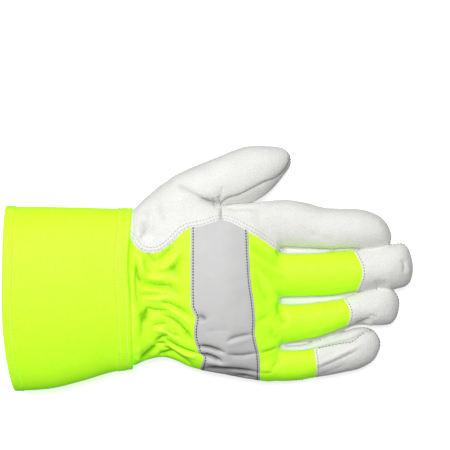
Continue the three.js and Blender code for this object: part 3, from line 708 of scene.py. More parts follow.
leather_edge = line_in_hand(LEATHER_EDGE)
thumb_edge = line_in_hand(THUMB_EDGE)
thumb_seam = smooth_line(THUMB_SEAM, 1.0)
thumb_under = line_in_hand(THUMB_SEAM_UNDER)
at_corner = np.argmin(np.hypot(*(leather_edge - hand_point(*THUMB_CORNER)).T))
wrist_edge, knuckle_edge = leather_edge[:at_corner + 1], leather_edge[at_corner:]
WRIST_X = leather_edge[0, 0]
thumb_end = np.array([(thumb_edge[-1, 0], FAR)])
thumb_seam_end = np.array([(thumb_seam[-1, 0], FAR)])
index_far = np.array([(INDEX_MIDDLE_GAP[-1, 0], FAR), (thumb_edge[-1, 0], FAR)])
front_x = hand_point(FRONT_SEAM_ALONG, 0)[0]
MIDDLE_SIDE_Y = INDEX_MIDDLE_GAP[0, 1]
RING_SIDE_Y = RING_LITTLE_GAP[0, 1]


def up_to(line, x):
    return line[line[:, 0] < x - 0.5]


CLOTH_OUTLINE = np.vstack([
    leather_edge, up_to(INDEX_MIDDLE_GAP, TIP_LINES["middle_tip"][0, 0]),
    TIP_LINES["middle_tip"], TIP_LINES["ring_tip"], TIP_LINES["little_tip"],
    [(TIP_LINES["little_tip"][-1, 0], -FAR), (WRIST_X, -FAR)],
])
BACK_OUTLINES = {
    "thumb_back": np.vstack([wrist_edge, thumb_seam, thumb_seam_end, [(WRIST_X, FAR)]]),
    "index_back": np.vstack([knuckle_edge, INDEX_MIDDLE_GAP, index_far, thumb_edge[::-1]]),
    "back_fabric": CLOTH_OUTLINE,
    "middle_tip": tip_outline("middle_tip", INDEX_MIDDLE_GAP, MIDDLE_RING_GAP),
    "ring_tip": tip_outline("ring_tip", MIDDLE_RING_GAP, RING_LITTLE_GAP),
    "little_tip": tip_outline("little_tip", RING_LITTLE_GAP, LITTLE_SIDE),
}


def front_outline(upper_line, lower_line):
    """A finger's front, from the seam across its base."""
    start = [(front_x, lower_line[0, 1]), (front_x, upper_line[0, 1])]
    return np.vstack([upper_line, lower_line[::-1], start])


FRONT_OUTLINES = {
    "thumb_front": np.vstack([thumb_under, thumb_edge, thumb_end, [(thumb_under[0, 0], FAR)]]),
    "palm": np.vstack([
        [(WRIST_X, FAR), (thumb_under[0, 0], FAR)], thumb_under, thumb_edge, thumb_end, index_far[:1],
        INDEX_MIDDLE_GAP[::-1], [(front_x, MIDDLE_SIDE_Y), (front_x, RING_SIDE_Y)],
        RING_LITTLE_GAP, [(RING_LITTLE_GAP[-1, 0], -FAR), (WRIST_X, -FAR)],
    ]),
    "middle_front": front_outline(INDEX_MIDDLE_GAP, MIDDLE_RING_GAP),
    "ring_front": front_outline(MIDDLE_RING_GAP, RING_LITTLE_GAP),
}
STRIP_OUTLINES = {
    name: strip_outline(FINGERS[upper], FINGERS[lower], end_share)
    for name, (upper, lower, _, _, end_share) in STRIPS.items()
}
STRIP_GAPS = dict(zip(STRIPS, (INDEX_MIDDLE_GAP, MIDDLE_RING_GAP, RING_LITTLE_GAP)))
BELOW_THUMB_SEAM = np.vstack([thumb_seam, thumb_seam_end, [(FAR, FAR), (FAR, 0), thumb_seam[0]]])
TAPE_OUTLINE = np.vstack([smooth_line(TAPE_LEFT), smooth_line(TAPE_RIGHT)[::-1]])

# Seams that draw the leather in, other than those along the glove's sides
LEATHER_SEAMS = {
    "thumb_back": [thumb_seam, np.vstack([wrist_edge[-1:], thumb_edge[:1]])],
    "index_back": [thumb_edge, np.vstack([wrist_edge[-1:], thumb_edge[:1]])],
    "thumb_front": [thumb_under, thumb_seam],
    "palm": [thumb_under, thumb_edge, INDEX_MIDDLE_GAP[:3], RING_LITTLE_GAP[:3],
             FRONT_OUTLINES["middle_front"][-2:], FRONT_OUTLINES["ring_front"][-2:]],
    "middle_front": [FRONT_OUTLINES["middle_front"][-2:], MIDDLE_RING_GAP[:2]],
    "ring_front": [FRONT_OUTLINES["ring_front"][-2:], MIDDLE_RING_GAP[:2]],
}


def fold_shape(places):
    """How far each place on the back stands out or in, and how much painted shade it gets in a crease.
    """
    rise, crease = np.zeros(len(places)), np.zeros(len(places))
    for x0, y0, x1, y1, x2, y2, height, spread in FOLDS:
        t = np.linspace(0, 1, FOLD_STEPS)[:, None]
        start, middle, end = (np.array(pair) for pair in ((x0, y0), (x1, y1), (x2, y2)))
        pull = 2 * middle - (start + end) / 2
        line = (1 - t) ** 2 * start + 2 * t * (1 - t) * pull + t**2 * end
        low = line.min(axis=0) - FOLD_REACH * spread
        high = line.max(axis=0) + FOLD_REACH * spread
        near = np.all((places > low) & (places < high), axis=1)
        away, share = line_distance(places[near], line)
        height *= FOLD_GAIN
        sharpness = ROLL_SHARPNESS if height > 0 else CREASE_SHARPNESS
        taper = smoothstep(np.minimum(share, 1 - share), *FOLD_ENDS)
        skirt = SKIRT_SHARE * np.exp(-((away / (SKIRT_WIDTH * spread)) ** 2))
        rise[near] += height * (np.exp(-((away / spread) ** sharpness)) + skirt) * taper
        if height < 0 and spread < WIDEST_CREASE:
            depth = min(1.0, -height / DEEPEST_CREASE)
            dark = depth * taper * np.exp(-((away / CREASE_HALF) ** 2))
            crease[near] = np.maximum(crease[near], dark)
    return rise, crease


def uneven(points, size, seed):
    """Soft random height, about -1 to 1, with lumps of about the given size."""
    offset = Vector((seed * 13.7, seed * 5.1, seed * 2.3))
    values = [noise.noise(Vector(point) / size + offset) for point in points]
    return np.array(values)


def lumpy(points, lumps):
    """The soft random heights of a list of (rise, size, seed), added up."""
    return sum(rise * uneven(points, size, seed) for rise, size, seed in lumps)


def clipped(corners, triangles, depth):
    """The part of a surface where depth is above zero, cut across its triangles."""
    inside = depth >= 0
    number = inside[triangles].sum(axis=1)
    parts = [triangles[number == 3]]
    cuts = []
    for count in (1, 2):
        chosen = triangles[number == count]
        odd = inside[chosen] == (count == 1)
        turn = odd.argmax(axis=1)[:, None] + np.arange(3)
        cuts.append(chosen[np.arange(len(chosen))[:, None], turn % 3])
    one, two = cuts
    edges = np.vstack([one[:, [0, 1]], one[:, [0, 2]], two[:, [0, 1]], two[:, [0, 2]]])
    pairs, which = np.unique(np.sort(edges, axis=1), axis=0, return_inverse=True)
    a, b = pairs.T
    share = np.clip(depth[a] / (depth[a] - depth[b]), 0.08, 0.92)[:, None]
    corners = np.vstack([corners, corners[a] + share * (corners[b] - corners[a])])
    new = np.split(which.ravel() + len(depth), np.cumsum([len(one), len(one), len(two)]))
    parts.append(np.column_stack([one[:, 0], new[0], new[1]]))
    parts.append(np.column_stack([new[2], two[:, 1], two[:, 2]]))
    parts.append(np.column_stack([new[2], two[:, 2], new[3]]))
    triangles = np.vstack(parts)
    used, triangles = np.unique(triangles, return_inverse=True)
    return corners[used], triangles.reshape(-1, 3)


# Materials

# A wave texture repeats about 3 times a unit. Its scale is cut by 10, so that weave and twist are
# drawn about 3 times as coarse as they are, or they wouldn't show
WAVE_SCALE_CUT = 10
WEAVE_SIZE = 0.7


def linear(hex_colour):
    """An sRGB hex colour as linear RGBA."""
    shares = [int(hex_colour[k:k + 2], 16) / 255 for k in (1, 3, 5)]
    return [s / 12.92 if s <= 0.04045 else ((s + 0.055) / 1.055) ** 2.4 for s in shares] + [1.0]


def per_mm(size):
    """The scale of a pattern whose repeat is the given size in millimetres."""
    return 1 / (size * MM)


def add(tree, kind, inputs=None, **settings):
    """A node with its settings, its values and the sockets that feed it."""
    made = tree.nodes.new("ShaderNode" + kind)
    for name, value in settings.items():
        setattr(made, name, value)
    for name, value in (inputs or {}).items():
        if isinstance(value, bpy.types.NodeSocket):
            tree.links.new(value, made.inputs[name])
        else:
            made.inputs[name].default_value = value
    return made


def new_material(name):
    """A material with no nodes yet but the place on the piece, which its patterns read."""
    made = bpy.data.materials.new(name)
    made.use_nodes = True
    tree = made.node_tree
    tree.nodes.clear()
    return made, tree, add(tree, "TexCoord").outputs["Object"]


def finish_material(tree, surface):
    add(tree, "OutputMaterial", {"Surface": surface.outputs[0]})


def white_leather():
    """Full-grain cowhide, drum-dyed white: a pebbled grain with fine pores, softly shining."""
    made, tree, place = new_material("white_full_grain_leather")
    pebbles = add(tree, "TexVoronoi", {"Vector": place, "Scale": per_mm(1.1), "Smoothness": 0.4},
                  feature="SMOOTH_F1")
    pores = add(tree, "TexNoise", {"Vector": place, "Scale": per_mm(0.7), "Detail": 4.0})
    creases = add(tree, "TexNoise", {"Vector": place, "Scale": per_mm(9), "Detail": 5.0,
                                     "Roughness": 0.62, "Distortion": 0.8})
    patches = add(tree, "TexNoise", {"Vector": place, "Scale": per_mm(28), "Detail": 3.0})
    worn = add(tree, "ValToRGB", {"Fac": patches.outputs["Fac"]})
    worn.color_ramp.elements[0].position = 0.35
    worn.color_ramp.elements[0].color = linear("#f2f2ee")
    worn.color_ramp.elements[1].position = 0.65
    worn.color_ramp.elements[1].color = linear("#fafaf7")
    painted_shade = add(tree, "Attribute", attribute_name="painted_shade")
    pits = add(tree, "MapRange", {"Value": pebbles.outputs["Distance"], "From Min": 0.25,
                                  "From Max": 0.6, "To Min": 0.0, "To Max": 0.2})
    grained = add(tree, "Mix", {"Factor": pits.outputs["Result"], "A": worn.outputs["Color"],
                                "B": linear("#c9c9c0")}, data_type="RGBA")
    # Painted shade: fold hollows, creases and seams are mixed towards grey
    shaded_leather = add(tree, "Mix", {"Factor": painted_shade.outputs["Fac"], "A": grained.outputs["Result"],
                             "B": linear("#b9b9b1")}, data_type="RGBA")
    coarse = add(tree, "Bump", {"Strength": 0.5, "Distance": 0.5 * MM,
                                "Height": creases.outputs["Fac"]})
    grain = add(tree, "Bump", {"Strength": 1.0, "Distance": 0.3 * MM,
                               "Height": pebbles.outputs["Distance"],
                               "Normal": coarse.outputs["Normal"]})
    fine = add(tree, "Bump", {"Strength": 0.6, "Distance": 0.2 * MM,
                              "Height": pores.outputs["Fac"], "Normal": grain.outputs["Normal"]})
    gloss = add(tree, "MapRange", {"Value": pores.outputs["Fac"], "To Min": 0.5, "To Max": 0.72})
    surface = add(tree, "BsdfPrincipled", {
        "Base Color": shaded_leather.outputs["Result"], "Roughness": gloss.outputs["Result"], "IOR": 1.48,
        "Sheen Weight": 0.5, "Sheen Roughness": 0.5, "Normal": fine.outputs["Normal"],
    })
    finish_material(tree, surface)
    return made


def bright_cloth():
    """Woven polyester cloth with a fluorescent coating, which gives back more green than falls on it.
    It is drawn with a painted glow, a green emission that stays on in the shade, so that its shaded
    folds go green rather than dark."""
    made, tree, place = new_material("fluorescent_coated_cloth")
    waves = []
    for axis in ("X", "Y"):
        waves.append(add(tree, "TexWave", {
            "Vector": place, "Scale": per_mm(WEAVE_SIZE) / WAVE_SCALE_CUT, "Distortion": 0.4,
            "Detail": 1.0,
        }, bands_direction=axis).outputs["Fac"])
    weave = add(tree, "Math", {0: waves[0], 1: waves[1]}, operation="ADD")
    slack = add(tree, "TexNoise", {"Vector": place, "Scale": per_mm(14), "Detail": 4.0,
                                   "Roughness": 0.55})
    dye = add(tree, "TexNoise", {"Vector": place, "Scale": per_mm(35), "Detail": 2.0})
    mottle = add(tree, "TexNoise", {"Vector": place, "Scale": per_mm(2.2), "Detail": 3.0})
    flecks = add(tree, "MapRange", {"Value": mottle.outputs["Fac"], "From Min": 0.35,
                                    "From Max": 0.65, "To Max": 0.3})
    painted_shade = add(tree, "Attribute", attribute_name="painted_shade")
    dyed = add(tree, "Mix", {"Factor": dye.outputs["Fac"], "A": linear("#daf52a"),
                             "B": linear("#e2f930")}, data_type="RGBA")
    colour = add(tree, "Mix", {"Factor": flecks.outputs["Result"], "A": dyed.outputs["Result"],
                               "B": linear("#c2e81e")}, data_type="RGBA")
    # Painted highlight: crests are mixed towards a lighter yellow
    painted_highlight = add(tree, "Attribute", attribute_name="painted_highlight")
    raised = add(tree, "Mix", {"Factor": painted_highlight.outputs["Fac"], "A": colour.outputs["Result"],
                               "B": linear("#ecfb4a")}, data_type="RGBA")
    # Painted shade: fold hollows, creases and seams are mixed towards dark green
    shaded_colour = add(tree, "Mix", {"Factor": painted_shade.outputs["Fac"], "A": raised.outputs["Result"],
                             "B": linear("#90b60f")}, data_type="RGBA")
    # Painted glow for the real fluorescence: a constant green emission that does not follow the light,
    # turned down in the hollows as painted shade
    glow = add(tree, "MapRange", {"Value": painted_shade.outputs["Fac"], "To Min": 0.33, "To Max": 0.12})
    soft = add(tree, "Bump", {"Strength": 0.5, "Distance": 0.5 * MM, "Height": slack.outputs["Fac"]})
    threads = add(tree, "Bump", {"Strength": 0.25, "Distance": 0.06 * MM,
                                 "Height": weave.outputs["Value"], "Normal": soft.outputs["Normal"]})
    surface = add(tree, "BsdfPrincipled", {
        "Base Color": shaded_colour.outputs["Result"], "Roughness": 0.55, "IOR": 1.46,
        "Specular IOR Level": 0.3, "Emission Color": linear("#2dff00"),
        "Emission Strength": glow.outputs["Result"],
        "Normal": threads.outputs["Normal"],
    })
    finish_material(tree, surface)
    return made


def glass_bead_tape():
    """Retroreflective tape: glass beads in a grey binder, dull silver with a faint sparkle."""
    made, tree, place = new_material("glass_bead_tape")
    beads = add(tree, "TexVoronoi", {"Vector": place, "Scale": per_mm(0.5)})
    clouds = add(tree, "TexNoise", {"Vector": place, "Scale": per_mm(18), "Detail": 3.0})
    slack = add(tree, "TexNoise", {"Vector": place, "Scale": per_mm(7), "Detail": 4.0})
    painted_shade = add(tree, "Attribute", attribute_name="painted_shade")
    colour = add(tree, "Mix", {"Factor": clouds.outputs["Fac"], "A": linear("#cbcbcb"),
                               "B": linear("#d6d6d5")}, data_type="RGBA")
    # Painted shade: fold hollows, creases and seams are mixed towards dark grey
    shaded_colour = add(tree, "Mix", {"Factor": painted_shade.outputs["Fac"], "A": colour.outputs["Result"],
                             "B": linear("#555554")}, data_type="RGBA")
    soft = add(tree, "Bump", {"Strength": 0.4, "Distance": 0.4 * MM, "Height": slack.outputs["Fac"]})
    grit = add(tree, "Bump", {"Strength": 0.3, "Distance": 0.05 * MM,
                              "Height": beads.outputs["Distance"], "Normal": soft.outputs["Normal"]})
    surface = add(tree, "BsdfPrincipled", {
        "Base Color": shaded_colour.outputs["Result"], "Roughness": 0.6,
        "Normal": grit.outputs["Normal"],
    })
    finish_material(tree, surface)
    return made


def thread(name, hex_colour):
    """Twisted polyester sewing thread: a faint slanting twist, barely shining."""
    made, tree, place = new_material(name)
    twist = add(tree, "TexWave", {"Vector": place, "Scale": per_mm(0.5) / WAVE_SCALE_CUT},
                bands_direction="DIAGONAL")
    ply = add(tree, "Bump", {"Strength": 0.3, "Distance": 0.05 * MM, "Height": twist.outputs["Fac"]})
    surface = add(tree, "BsdfPrincipled", {
        "Base Color": linear(hex_colour), "Roughness": 0.6, "IOR": 1.5, "Sheen Weight": 0.3,
        "Normal": ply.outputs["Normal"],
    })
    finish_material(tree, surface)
    return made


def studio_white():
    """Matt white paper that glows a little, so that it stays white round the glove's shadow."""
    made, tree, _ = new_material("white_studio_sweep")
    surface = add(tree, "BsdfPrincipled", {
        "Base Color": linear("#f4f4f4"), "Roughness": 0.9, "Emission Color": linear("#ffffff"),
        "Emission Strength": 0.7,
    })
    finish_material(tree, surface)
    return made


LEATHER = white_leather()
CLOTH = bright_cloth()
TAPE = glass_bead_tape()
PALE_THREAD = thread("pale_grey_thread", "#b4b5ad")
CUFF_THREAD = thread("pale_yellow_thread", "#dcecae")
DARK_THREAD = thread("dark_olive_thread", "#332e20")
SEAM_THREAD = thread("grey_seam_thread", "#5f6059")


# The sewn pieces of the hand
def give_relief(made, painted_shade, painted_highlight):
    """Stores each corner's painted shade, from fold hollows, creases and seams, and its painted
    highlight, from crests, for the materials to read.
    """
    for name, values in (("painted_shade", painted_shade), ("painted_highlight", painted_highlight)):
        layer = made.data.attributes.new(name, "FLOAT", "POINT")
        layer.data.foreach_set("value", np.clip(values, 0, 1).astype(np.float32))


def give_no_relief(made):
    flat = np.zeros(len(made.data.vertices))
    give_relief(made, flat, flat)


def strip_depth(name):
    """How far in from a strip's edges each place lies. Its end closes to a point."""
    shown_first, shown_last = STRIPS[name][2:4]
    outline, gap = STRIP_OUTLINES[name], STRIP_GAPS[name]
    first, last = outline[:, 0].min(), outline[:, 0].max()
    x, y = places.T
    share = smoothstep(x, first + 8, last - 4)
    on_lower_finger = y < np.interp(x, *gap.T)
    shown = (shown_first + (shown_last - shown_first) * share) * on_lower_finger
    shown = shown * smoothstep(x, first + 2, first + 12)
    room = smoothstep(last - x, 0, STRIP_CLOSING)
    low = SIDE_SEAM_HEIGHT - (SIDE_SEAM_HEIGHT - SIDE_STRIP_LOW) * room
    high = SIDE_SEAM_HEIGHT + (SIDE_STRIP_HIGH + shown - SIDE_SEAM_HEIGHT) * room
    return np.minimum.reduce([inside_distance(places, outline), height - low, high - height])


base, skin_faces = outer_skin()
base = softened(base, skin_faces, SOFTEN_ROUNDS)
normals = normals_of(base, skin_faces)
places = base[:, :2]
height = base[:, 2]
above = height - SIDE_SEAM_HEIGHT
past_start = base[:, 0] - SKIN_START
over_cloth = inside_distance(places, CLOTH_OUTLINE)
strip_depths = {name: strip_depth(name) for name in STRIPS}
between_fingers = np.maximum.reduce(list(strip_depths.values()))

upward = smoothstep(normals[:, 2], *FOLDS_FACE_UP)
folds, crease = fold_shape(places)
folds *= upward
crease *= upward
near_seam = np.exp(-(over_cloth / 6) ** 2) * (over_cloth > -1)
slack = lumpy(base, LUMPS) * (0.5 + 0.8 * near_seam)
slack *= smoothstep(-between_fingers, -1, 6) * smoothstep(height, 0.5, 6)
rise = folds + slack
shaped = base + normals * rise[:, None]
shaped[:, 2] = np.maximum(shaped[:, 2], 0.05)
shaped_normals = normals_of(shaped, skin_faces)

# Crests and hollows, against the surface averaged over several millimetres, for the painted highlight
# and painted shade
average = neighbours_mean(base, skin_faces)
level = rise[:, None]
for step in range(RELIEF_ROUNDS):
    level = average(level)
    if step == RELIEF_EASE:
        eased = level
relief = (eased - level)[:, 0] / RELIEF_HEIGHT

# Each piece's outer surface, for the stitches to be laid on
OUTER = {}


def drawn_in(seam, dip, spread):
    """How far a piece is pulled in at a given distance from its seam."""
    return dip * np.exp(-((np.abs(seam) / spread) ** 1.5))


def nearest_of(lines):
    """Distance of each place on the skin from the nearest of several lines."""
    if not lines:
        return np.full(len(places), FAR)
    return np.minimum.reduce([line_distance(places, line)[0] for line in lines])


def keep_on_ground(made):
    """Lifts the corners that would lie below the ground."""
    coordinates = np.empty(len(made.data.vertices) * 3)
    made.data.vertices.foreach_get("co", coordinates)
    coordinates[2::3] = np.maximum(coordinates[2::3], 0)
    made.data.vertices.foreach_set("co", coordinates)
    made.data.update()


def sewn_piece(name, depth, seam, offset, wall, material):
    """Cuts one piece out of the skin, moved out by its offset, and gives it its thickness."""
    # Painted shade in fold hollows, in creases and along seams; painted highlight on crests
    painted_fold_shade = np.maximum(HOLLOW_SHARE * np.clip(-relief, 0, 1) ** HOLLOW_POWER, crease)
    painted_shade = np.maximum(SEAM_SHADE * np.exp(-np.abs(seam / SEAM_SHADE_WIDTH)), painted_fold_shade)
    painted_highlight = np.clip(relief, 0, 1)
    outside = shaped + shaped_normals * np.broadcast_to(offset, seam.shape)[:, None]
    outside[:, 2] = np.maximum(outside[:, 2], 0.0)
    corners, triangles = clipped(np.column_stack([outside, painted_shade, painted_highlight]), skin_faces, depth)
    points = corners[:, :3]
    made = new_object(name + "_look", points, triangles, material)
    give_relief(made, corners[:, 3], corners[:, 4])
    apply_modifier(made, "SOLIDIFY", thickness=wall * MM, offset=-1.0)
    keep_on_ground(made)
    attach(made, "root")
    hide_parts(name)
    OUTER[name] = (points, triangles)
    return made


# The pieces of the hand's back
cut_line = nearest_of([leather_edge, *TIP_LINES.values()])
cut_dip = CUT_EDGE_DIP * np.exp(-((cut_line / CUT_EDGE_SPREAD) ** 2))
for name, outline in BACK_OUTLINES.items():
    is_cloth = name == "back_fabric"
    inset = inside_distance(places, outline) + CLOTH_RUN_ON * is_cloth
    depth = np.minimum.reduce([inset, above, -between_fingers, past_start])
    seam = np.minimum.reduce([above, -between_fingers, nearest_of(LEATHER_SEAMS.get(name, []))])
    if is_cloth:
        offset = -drawn_in(seam, CLOTH_DIP, CLOTH_SPREAD)
        sewn_piece(name, depth, seam, offset, HAND_WALL, CLOTH)
    else:
        offset = LEATHER_LIFT - cut_dip - drawn_in(seam, LEATHER_DIP, LEATHER_SPREAD)
        sewn_piece(name, depth, seam, offset, HAND_WALL, LEATHER)

# The pieces of the hand's front. The thumb's front comes round to its seam on the back
below_seam = inside_distance(places, BELOW_THUMB_SEAM)
for name, outline in FRONT_OUTLINES.items():
    reach = np.maximum(-above, below_seam) if name == "thumb_front" else -above
    depth = np.minimum.reduce([inside_distance(places, outline), reach, -between_fingers, past_start])
    seam = np.minimum.reduce([reach, -between_fingers, nearest_of(LEATHER_SEAMS.get(name, []))])
    lift = LEATHER_LIFT * smoothstep(above, -LIFT_EASE, LIFT_EASE)
    offset = lift - drawn_in(seam, LEATHER_DIP, LEATHER_SPREAD)
    made = sewn_piece(name, depth, seam, offset, HAND_WALL, LEATHER)
    if name == "palm":
        PALM_LOOK = made

# The strips between the fingers
for name, depth in strip_depths.items():
    plump = smoothstep(inside_distance(places, STRIP_OUTLINES[name]), 0, STRIP_PLUMP)
    offset = STRIP_LIFT * plump - drawn_in(depth, LEATHER_DIP, LEATHER_SPREAD)
    sewn_piece(name, depth, depth, offset, HAND_WALL, LEATHER)


# The palm's tab: a flap of leather under the cuff, with two round corners
def tab_ring(inset, z):
    """One line round the tab, in from its edge."""
    left, right = CUFF_LENGTH - TAB_LENGTH + inset, TAB_ROOT - inset
    half, corner = TAB_WIDTH / 2 - inset, max(TAB_CORNER - inset, 1)
    turns = np.linspace(math.pi / 2, math.pi, 9)
    upper = np.column_stack([left + corner + corner * np.cos(turns),
                             half - corner + corner * np.sin(turns)])
    lower = upper[::-1] * [1, -1]
    sides = [np.linspace(upper[-1], lower[0], 24)[1:-1], np.linspace(lower[-1], (right, -half), 18)[1:],
             np.linspace((right, -half), (right, half), 24)[1:-1],
             np.linspace((right, half), upper[0], 18)[:-1]]
    outline = np.vstack([upper, sides[0], lower, sides[1], sides[2], sides[3]])
    return np.column_stack([outline, np.full(len(outline), z)])


def tab():
    """The tab as a padded flap, pulled in along its stitches."""
    low, high = TAB_LOW, TAB_LOW + HAND_WALL
    profile = [(9, low), (3.2, low), (TAB_STITCH, low + 0.35), (1.2, low), (0.4, low + 0.1),
               (0, low + 0.6), (0.4, high - 0.1), (1.2, high), (9, high)]
    rings = [tab_ring(inset, z) for inset, z in profile]
    count = len(rings[0])
    faces = ring_faces(len(rings), count)
    last = (len(rings) - 1) * count
    faces += [tuple(range(count))[::-1], tuple(range(last, last + count))]
    made = new_object("tab", np.vstack(rings), faces, LEATHER)
    give_no_relief(made)
    return made


select_only(PALM_LOOK, tab())
bpy.ops.object.join()

# The reflective band
tape_inset = inside_distance(places, TAPE_OUTLINE)
tape_depth = np.minimum.reduce([tape_inset, over_cloth + CLOTH_RUN_ON, above])
tape_edge = CUT_EDGE_DIP * np.exp(-((tape_inset / CUT_EDGE_SPREAD) ** 2))
tape_offset = TAPE_LIFT - tape_edge - drawn_in(above, CLOTH_DIP, CLOTH_SPREAD)
sewn_piece("reflective_band", tape_depth, above, tape_offset, TAPE_WALL, TAPE)


# The cuff
CUFF_STEPS = 260
RIM_STEPS = 7
HEM_START, HEM_LINE = 1.1, 7.4
HEM_STITCH = HEM_LINE - 0.9
JOIN_START = CUFF_LENGTH - JOIN_BAND_WIDTH
JOIN_ROWS = (JOIN_START + 1.2, CUFF_LENGTH - 2.6)
FINE_STEP, COARSE_STEP = 0.35, 1.1

# How far the join's seams bow back over the hand, round which y and how wide, and over how much
# of the cuff's length
JOIN_BOW, JOIN_BOW_MIDDLE, JOIN_BOW_HALF = 2.8, 22, 27
JOIN_BOW_RUN = 45

# The hem swells at its corner on the thumb's side: by how much, at which angle (and the spread
# squared), and round which place along the cuff
CORNER_SWELL, CORNER_ANGLE, CORNER_SPREAD = 1.1, 0.35, 0.01
CORNER_PLACE, CORNER_LENGTH = 5, 4


def joined_place(x, y):
    """The join's seams bow back towards the cuff over the middle of the hand."""
    share = smoothstep(x, CUFF_LENGTH - JOIN_BOW_RUN, JOIN_START)
    return x - JOIN_BOW * share * np.exp(-(((y - JOIN_BOW_MIDDLE) / JOIN_BOW_HALF) ** 2))


def cuff_ring(x, grow, angles):
    """Points round the cuff at a distance from its mouth, grown outwards."""
    ring = section(CUFF, x / CUFF_LENGTH, angles, grow)
    over = np.sin(angles) > 0
    ring[over, 0] = joined_place(ring[over, 0], ring[over, 1])
    swell = CORNER_SWELL * np.exp(-((angles - CORNER_ANGLE) ** 2) / CORNER_SPREAD)
    swell = swell * np.exp(-(((x - CORNER_PLACE) / CORNER_LENGTH) ** 2))
    ring[:, 1] += swell * (grow > -1)
    return ring


def cuff_angles():
    return (np.arange(CUFF_STEPS) + 0.5) * 2 * math.pi / CUFF_STEPS


def sleeve(name, profile):
    """One stretch of the cuff's wall, swept from a closed profile of (place, grow)."""
    angles = cuff_angles()
    rings = [cuff_ring(x, grow, angles) for x, grow in profile]
    points = np.vstack(rings)
    faces = ring_faces(len(rings), CUFF_STEPS, closed=True)
    ease = lumpy(points, CUFF_LUMPS)
    lift = smoothstep(points[:, 2], 0.5, 8)
    outward = points - [0, 0, CUFF_HEIGHT / 2]
    outward[:, 0] = 0
    outward /= np.linalg.norm(outward, axis=1)[:, None]
    points = points + outward * (ease * lift)[:, None]
    points[:, 2] = np.maximum(points[:, 2], 0.0)
    made = new_object(name + "_look", points, faces, CLOTH)
    give_no_relief(made)
    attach(made, "root")
    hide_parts(name)


def rounded_rim(place, way, outer):
    """The rim between the outer and inner wall, rounded towards the given way along the cuff."""
    middle, half = (outer - CUFF_WALL) / 2, (outer + CUFF_WALL) / 2
    turns = np.linspace(0, math.pi, RIM_STEPS)
    return [(place + way * half * math.sin(a), middle + half * math.cos(a)) for a in turns]


def wall_profile(start, end, step, grow, start_round=True, end_round=True):
    """A closed profile: the outer wall from start to end, grown by a function of the place, and
    the inner wall back. The rims are rounded where they show."""
    count = max(3, int((end - start) / step))
    profile = [(x, grow(x)) for x in np.linspace(start, end, count)]
    outer_start, outer_end = profile[0][1], profile[-1][1]
    if end_round:
        profile += rounded_rim(end, 1, outer_end)[1:-1]
    profile += [(x, -CUFF_WALL) for x in np.linspace(end, start, count // 2 + 2)]
    if start_round:
        profile += rounded_rim(start, -1, outer_start)[::-1][1:-1]
    return profile


def hem_grow(x):
    """The turned hem: a soft roll at the mouth, and a stitched line where it ends."""
    return HEM_SWELL - 0.35 * math.exp(-(((x - HEM_STITCH) / 0.7) ** 2)) + 0.1 * math.sin(x)


def cuff_grow(x):
    """The cuff's cloth: flat, and a little raised where it goes under the join band."""
    return -0.05 + 0.25 * math.exp(-(((x - JOIN_START) / 3) ** 2))


def join_grow(x):
    """The doubled band: two stitched channels with a low roll between and beside them."""
    rows = sum(math.exp(-(((x - row) / 0.8) ** 2)) for row in JOIN_ROWS)
    return HEM_SWELL + 0.15 - 0.4 * rows


sleeve("cuff_hem", wall_profile(HEM_START, HEM_LINE, FINE_STEP, hem_grow, end_round=False))
sleeve("cuff", wall_profile(HEM_LINE - 0.3, JOIN_START + 0.4, COARSE_STEP, cuff_grow,
                            start_round=False, end_round=False))
sleeve("cuff_join_band", wall_profile(JOIN_START, CUFF_LENGTH - 0.4, FINE_STEP, join_grow))


# Stitches
STITCH_PITCH = 2.7
STITCH_SHARE = 0.72
THREAD_RADIUS = 0.27

# How far each row lies in from its piece's edge or seam, and how far its surface is lifted
LEATHER_STITCH_INSETS = (1.8, 4.4)
TIP_STITCH_INSET = 1.6
TAPE_STITCH_INSET = 2.1
THUMB_STITCH_INSET = 0.8
THUMB_EDGE_STITCH_INSET = 0.9
SIDE_STITCH_DROP, SIDE_STITCH_LIFT = 1.4, 0.1
STRIP_STITCH_INSET, STRIP_STITCH_LIFT = 1.3, 0.6
FRONT_STITCH_INSET = 1.2
TAB_ROW_GAP = 2.4
TAB_ROW_POINTS = 30


def one_stitch():
    """A stitch modelled once, one long and one thick, with sunken ends. It is copied in code."""
    select_only()
    bpy.ops.mesh.primitive_cylinder_add(vertices=6, radius=1, depth=1, rotation=(0, math.pi / 2, 0))
    made = bpy.context.object
    bpy.ops.object.transform_apply(location=True, rotation=True, scale=True)
    bpy.ops.object.mode_set(mode="EDIT")
    bpy.ops.mesh.select_all(action="SELECT")
    bpy.ops.mesh.subdivide(number_cuts=1)
    bpy.ops.object.mode_set(mode="OBJECT")
    mesh = made.data
    points = np.array([vertex.co[:] for vertex in mesh.vertices])
    points[:, 1:] *= (1 - 1.5 * points[:, :1] ** 2)
    points[:, 2] += 0.35 - 3.6 * points[:, 0] ** 2
    faces = [tuple(face.vertices) for face in mesh.polygons]
    bpy.data.objects.remove(made)
    return points, faces


STITCH_POINTS, STITCH_FACES = one_stitch()


def evenly(points, out, pitch):
    """The start, the end and the outward direction of each stitch along a path on a surface."""
    lengths = np.concatenate([[0], np.cumsum(np.linalg.norm(np.diff(points, axis=0), axis=1))])
    long = pitch * STITCH_SHARE
    starts = np.arange(0.4 * pitch, lengths[-1] - long, pitch)

    def at(where, values):
        return np.column_stack([np.interp(where, lengths, values[:, k]) for k in range(3)])

    return at(starts, points), at(starts + long, points), at(starts + long / 2, out)


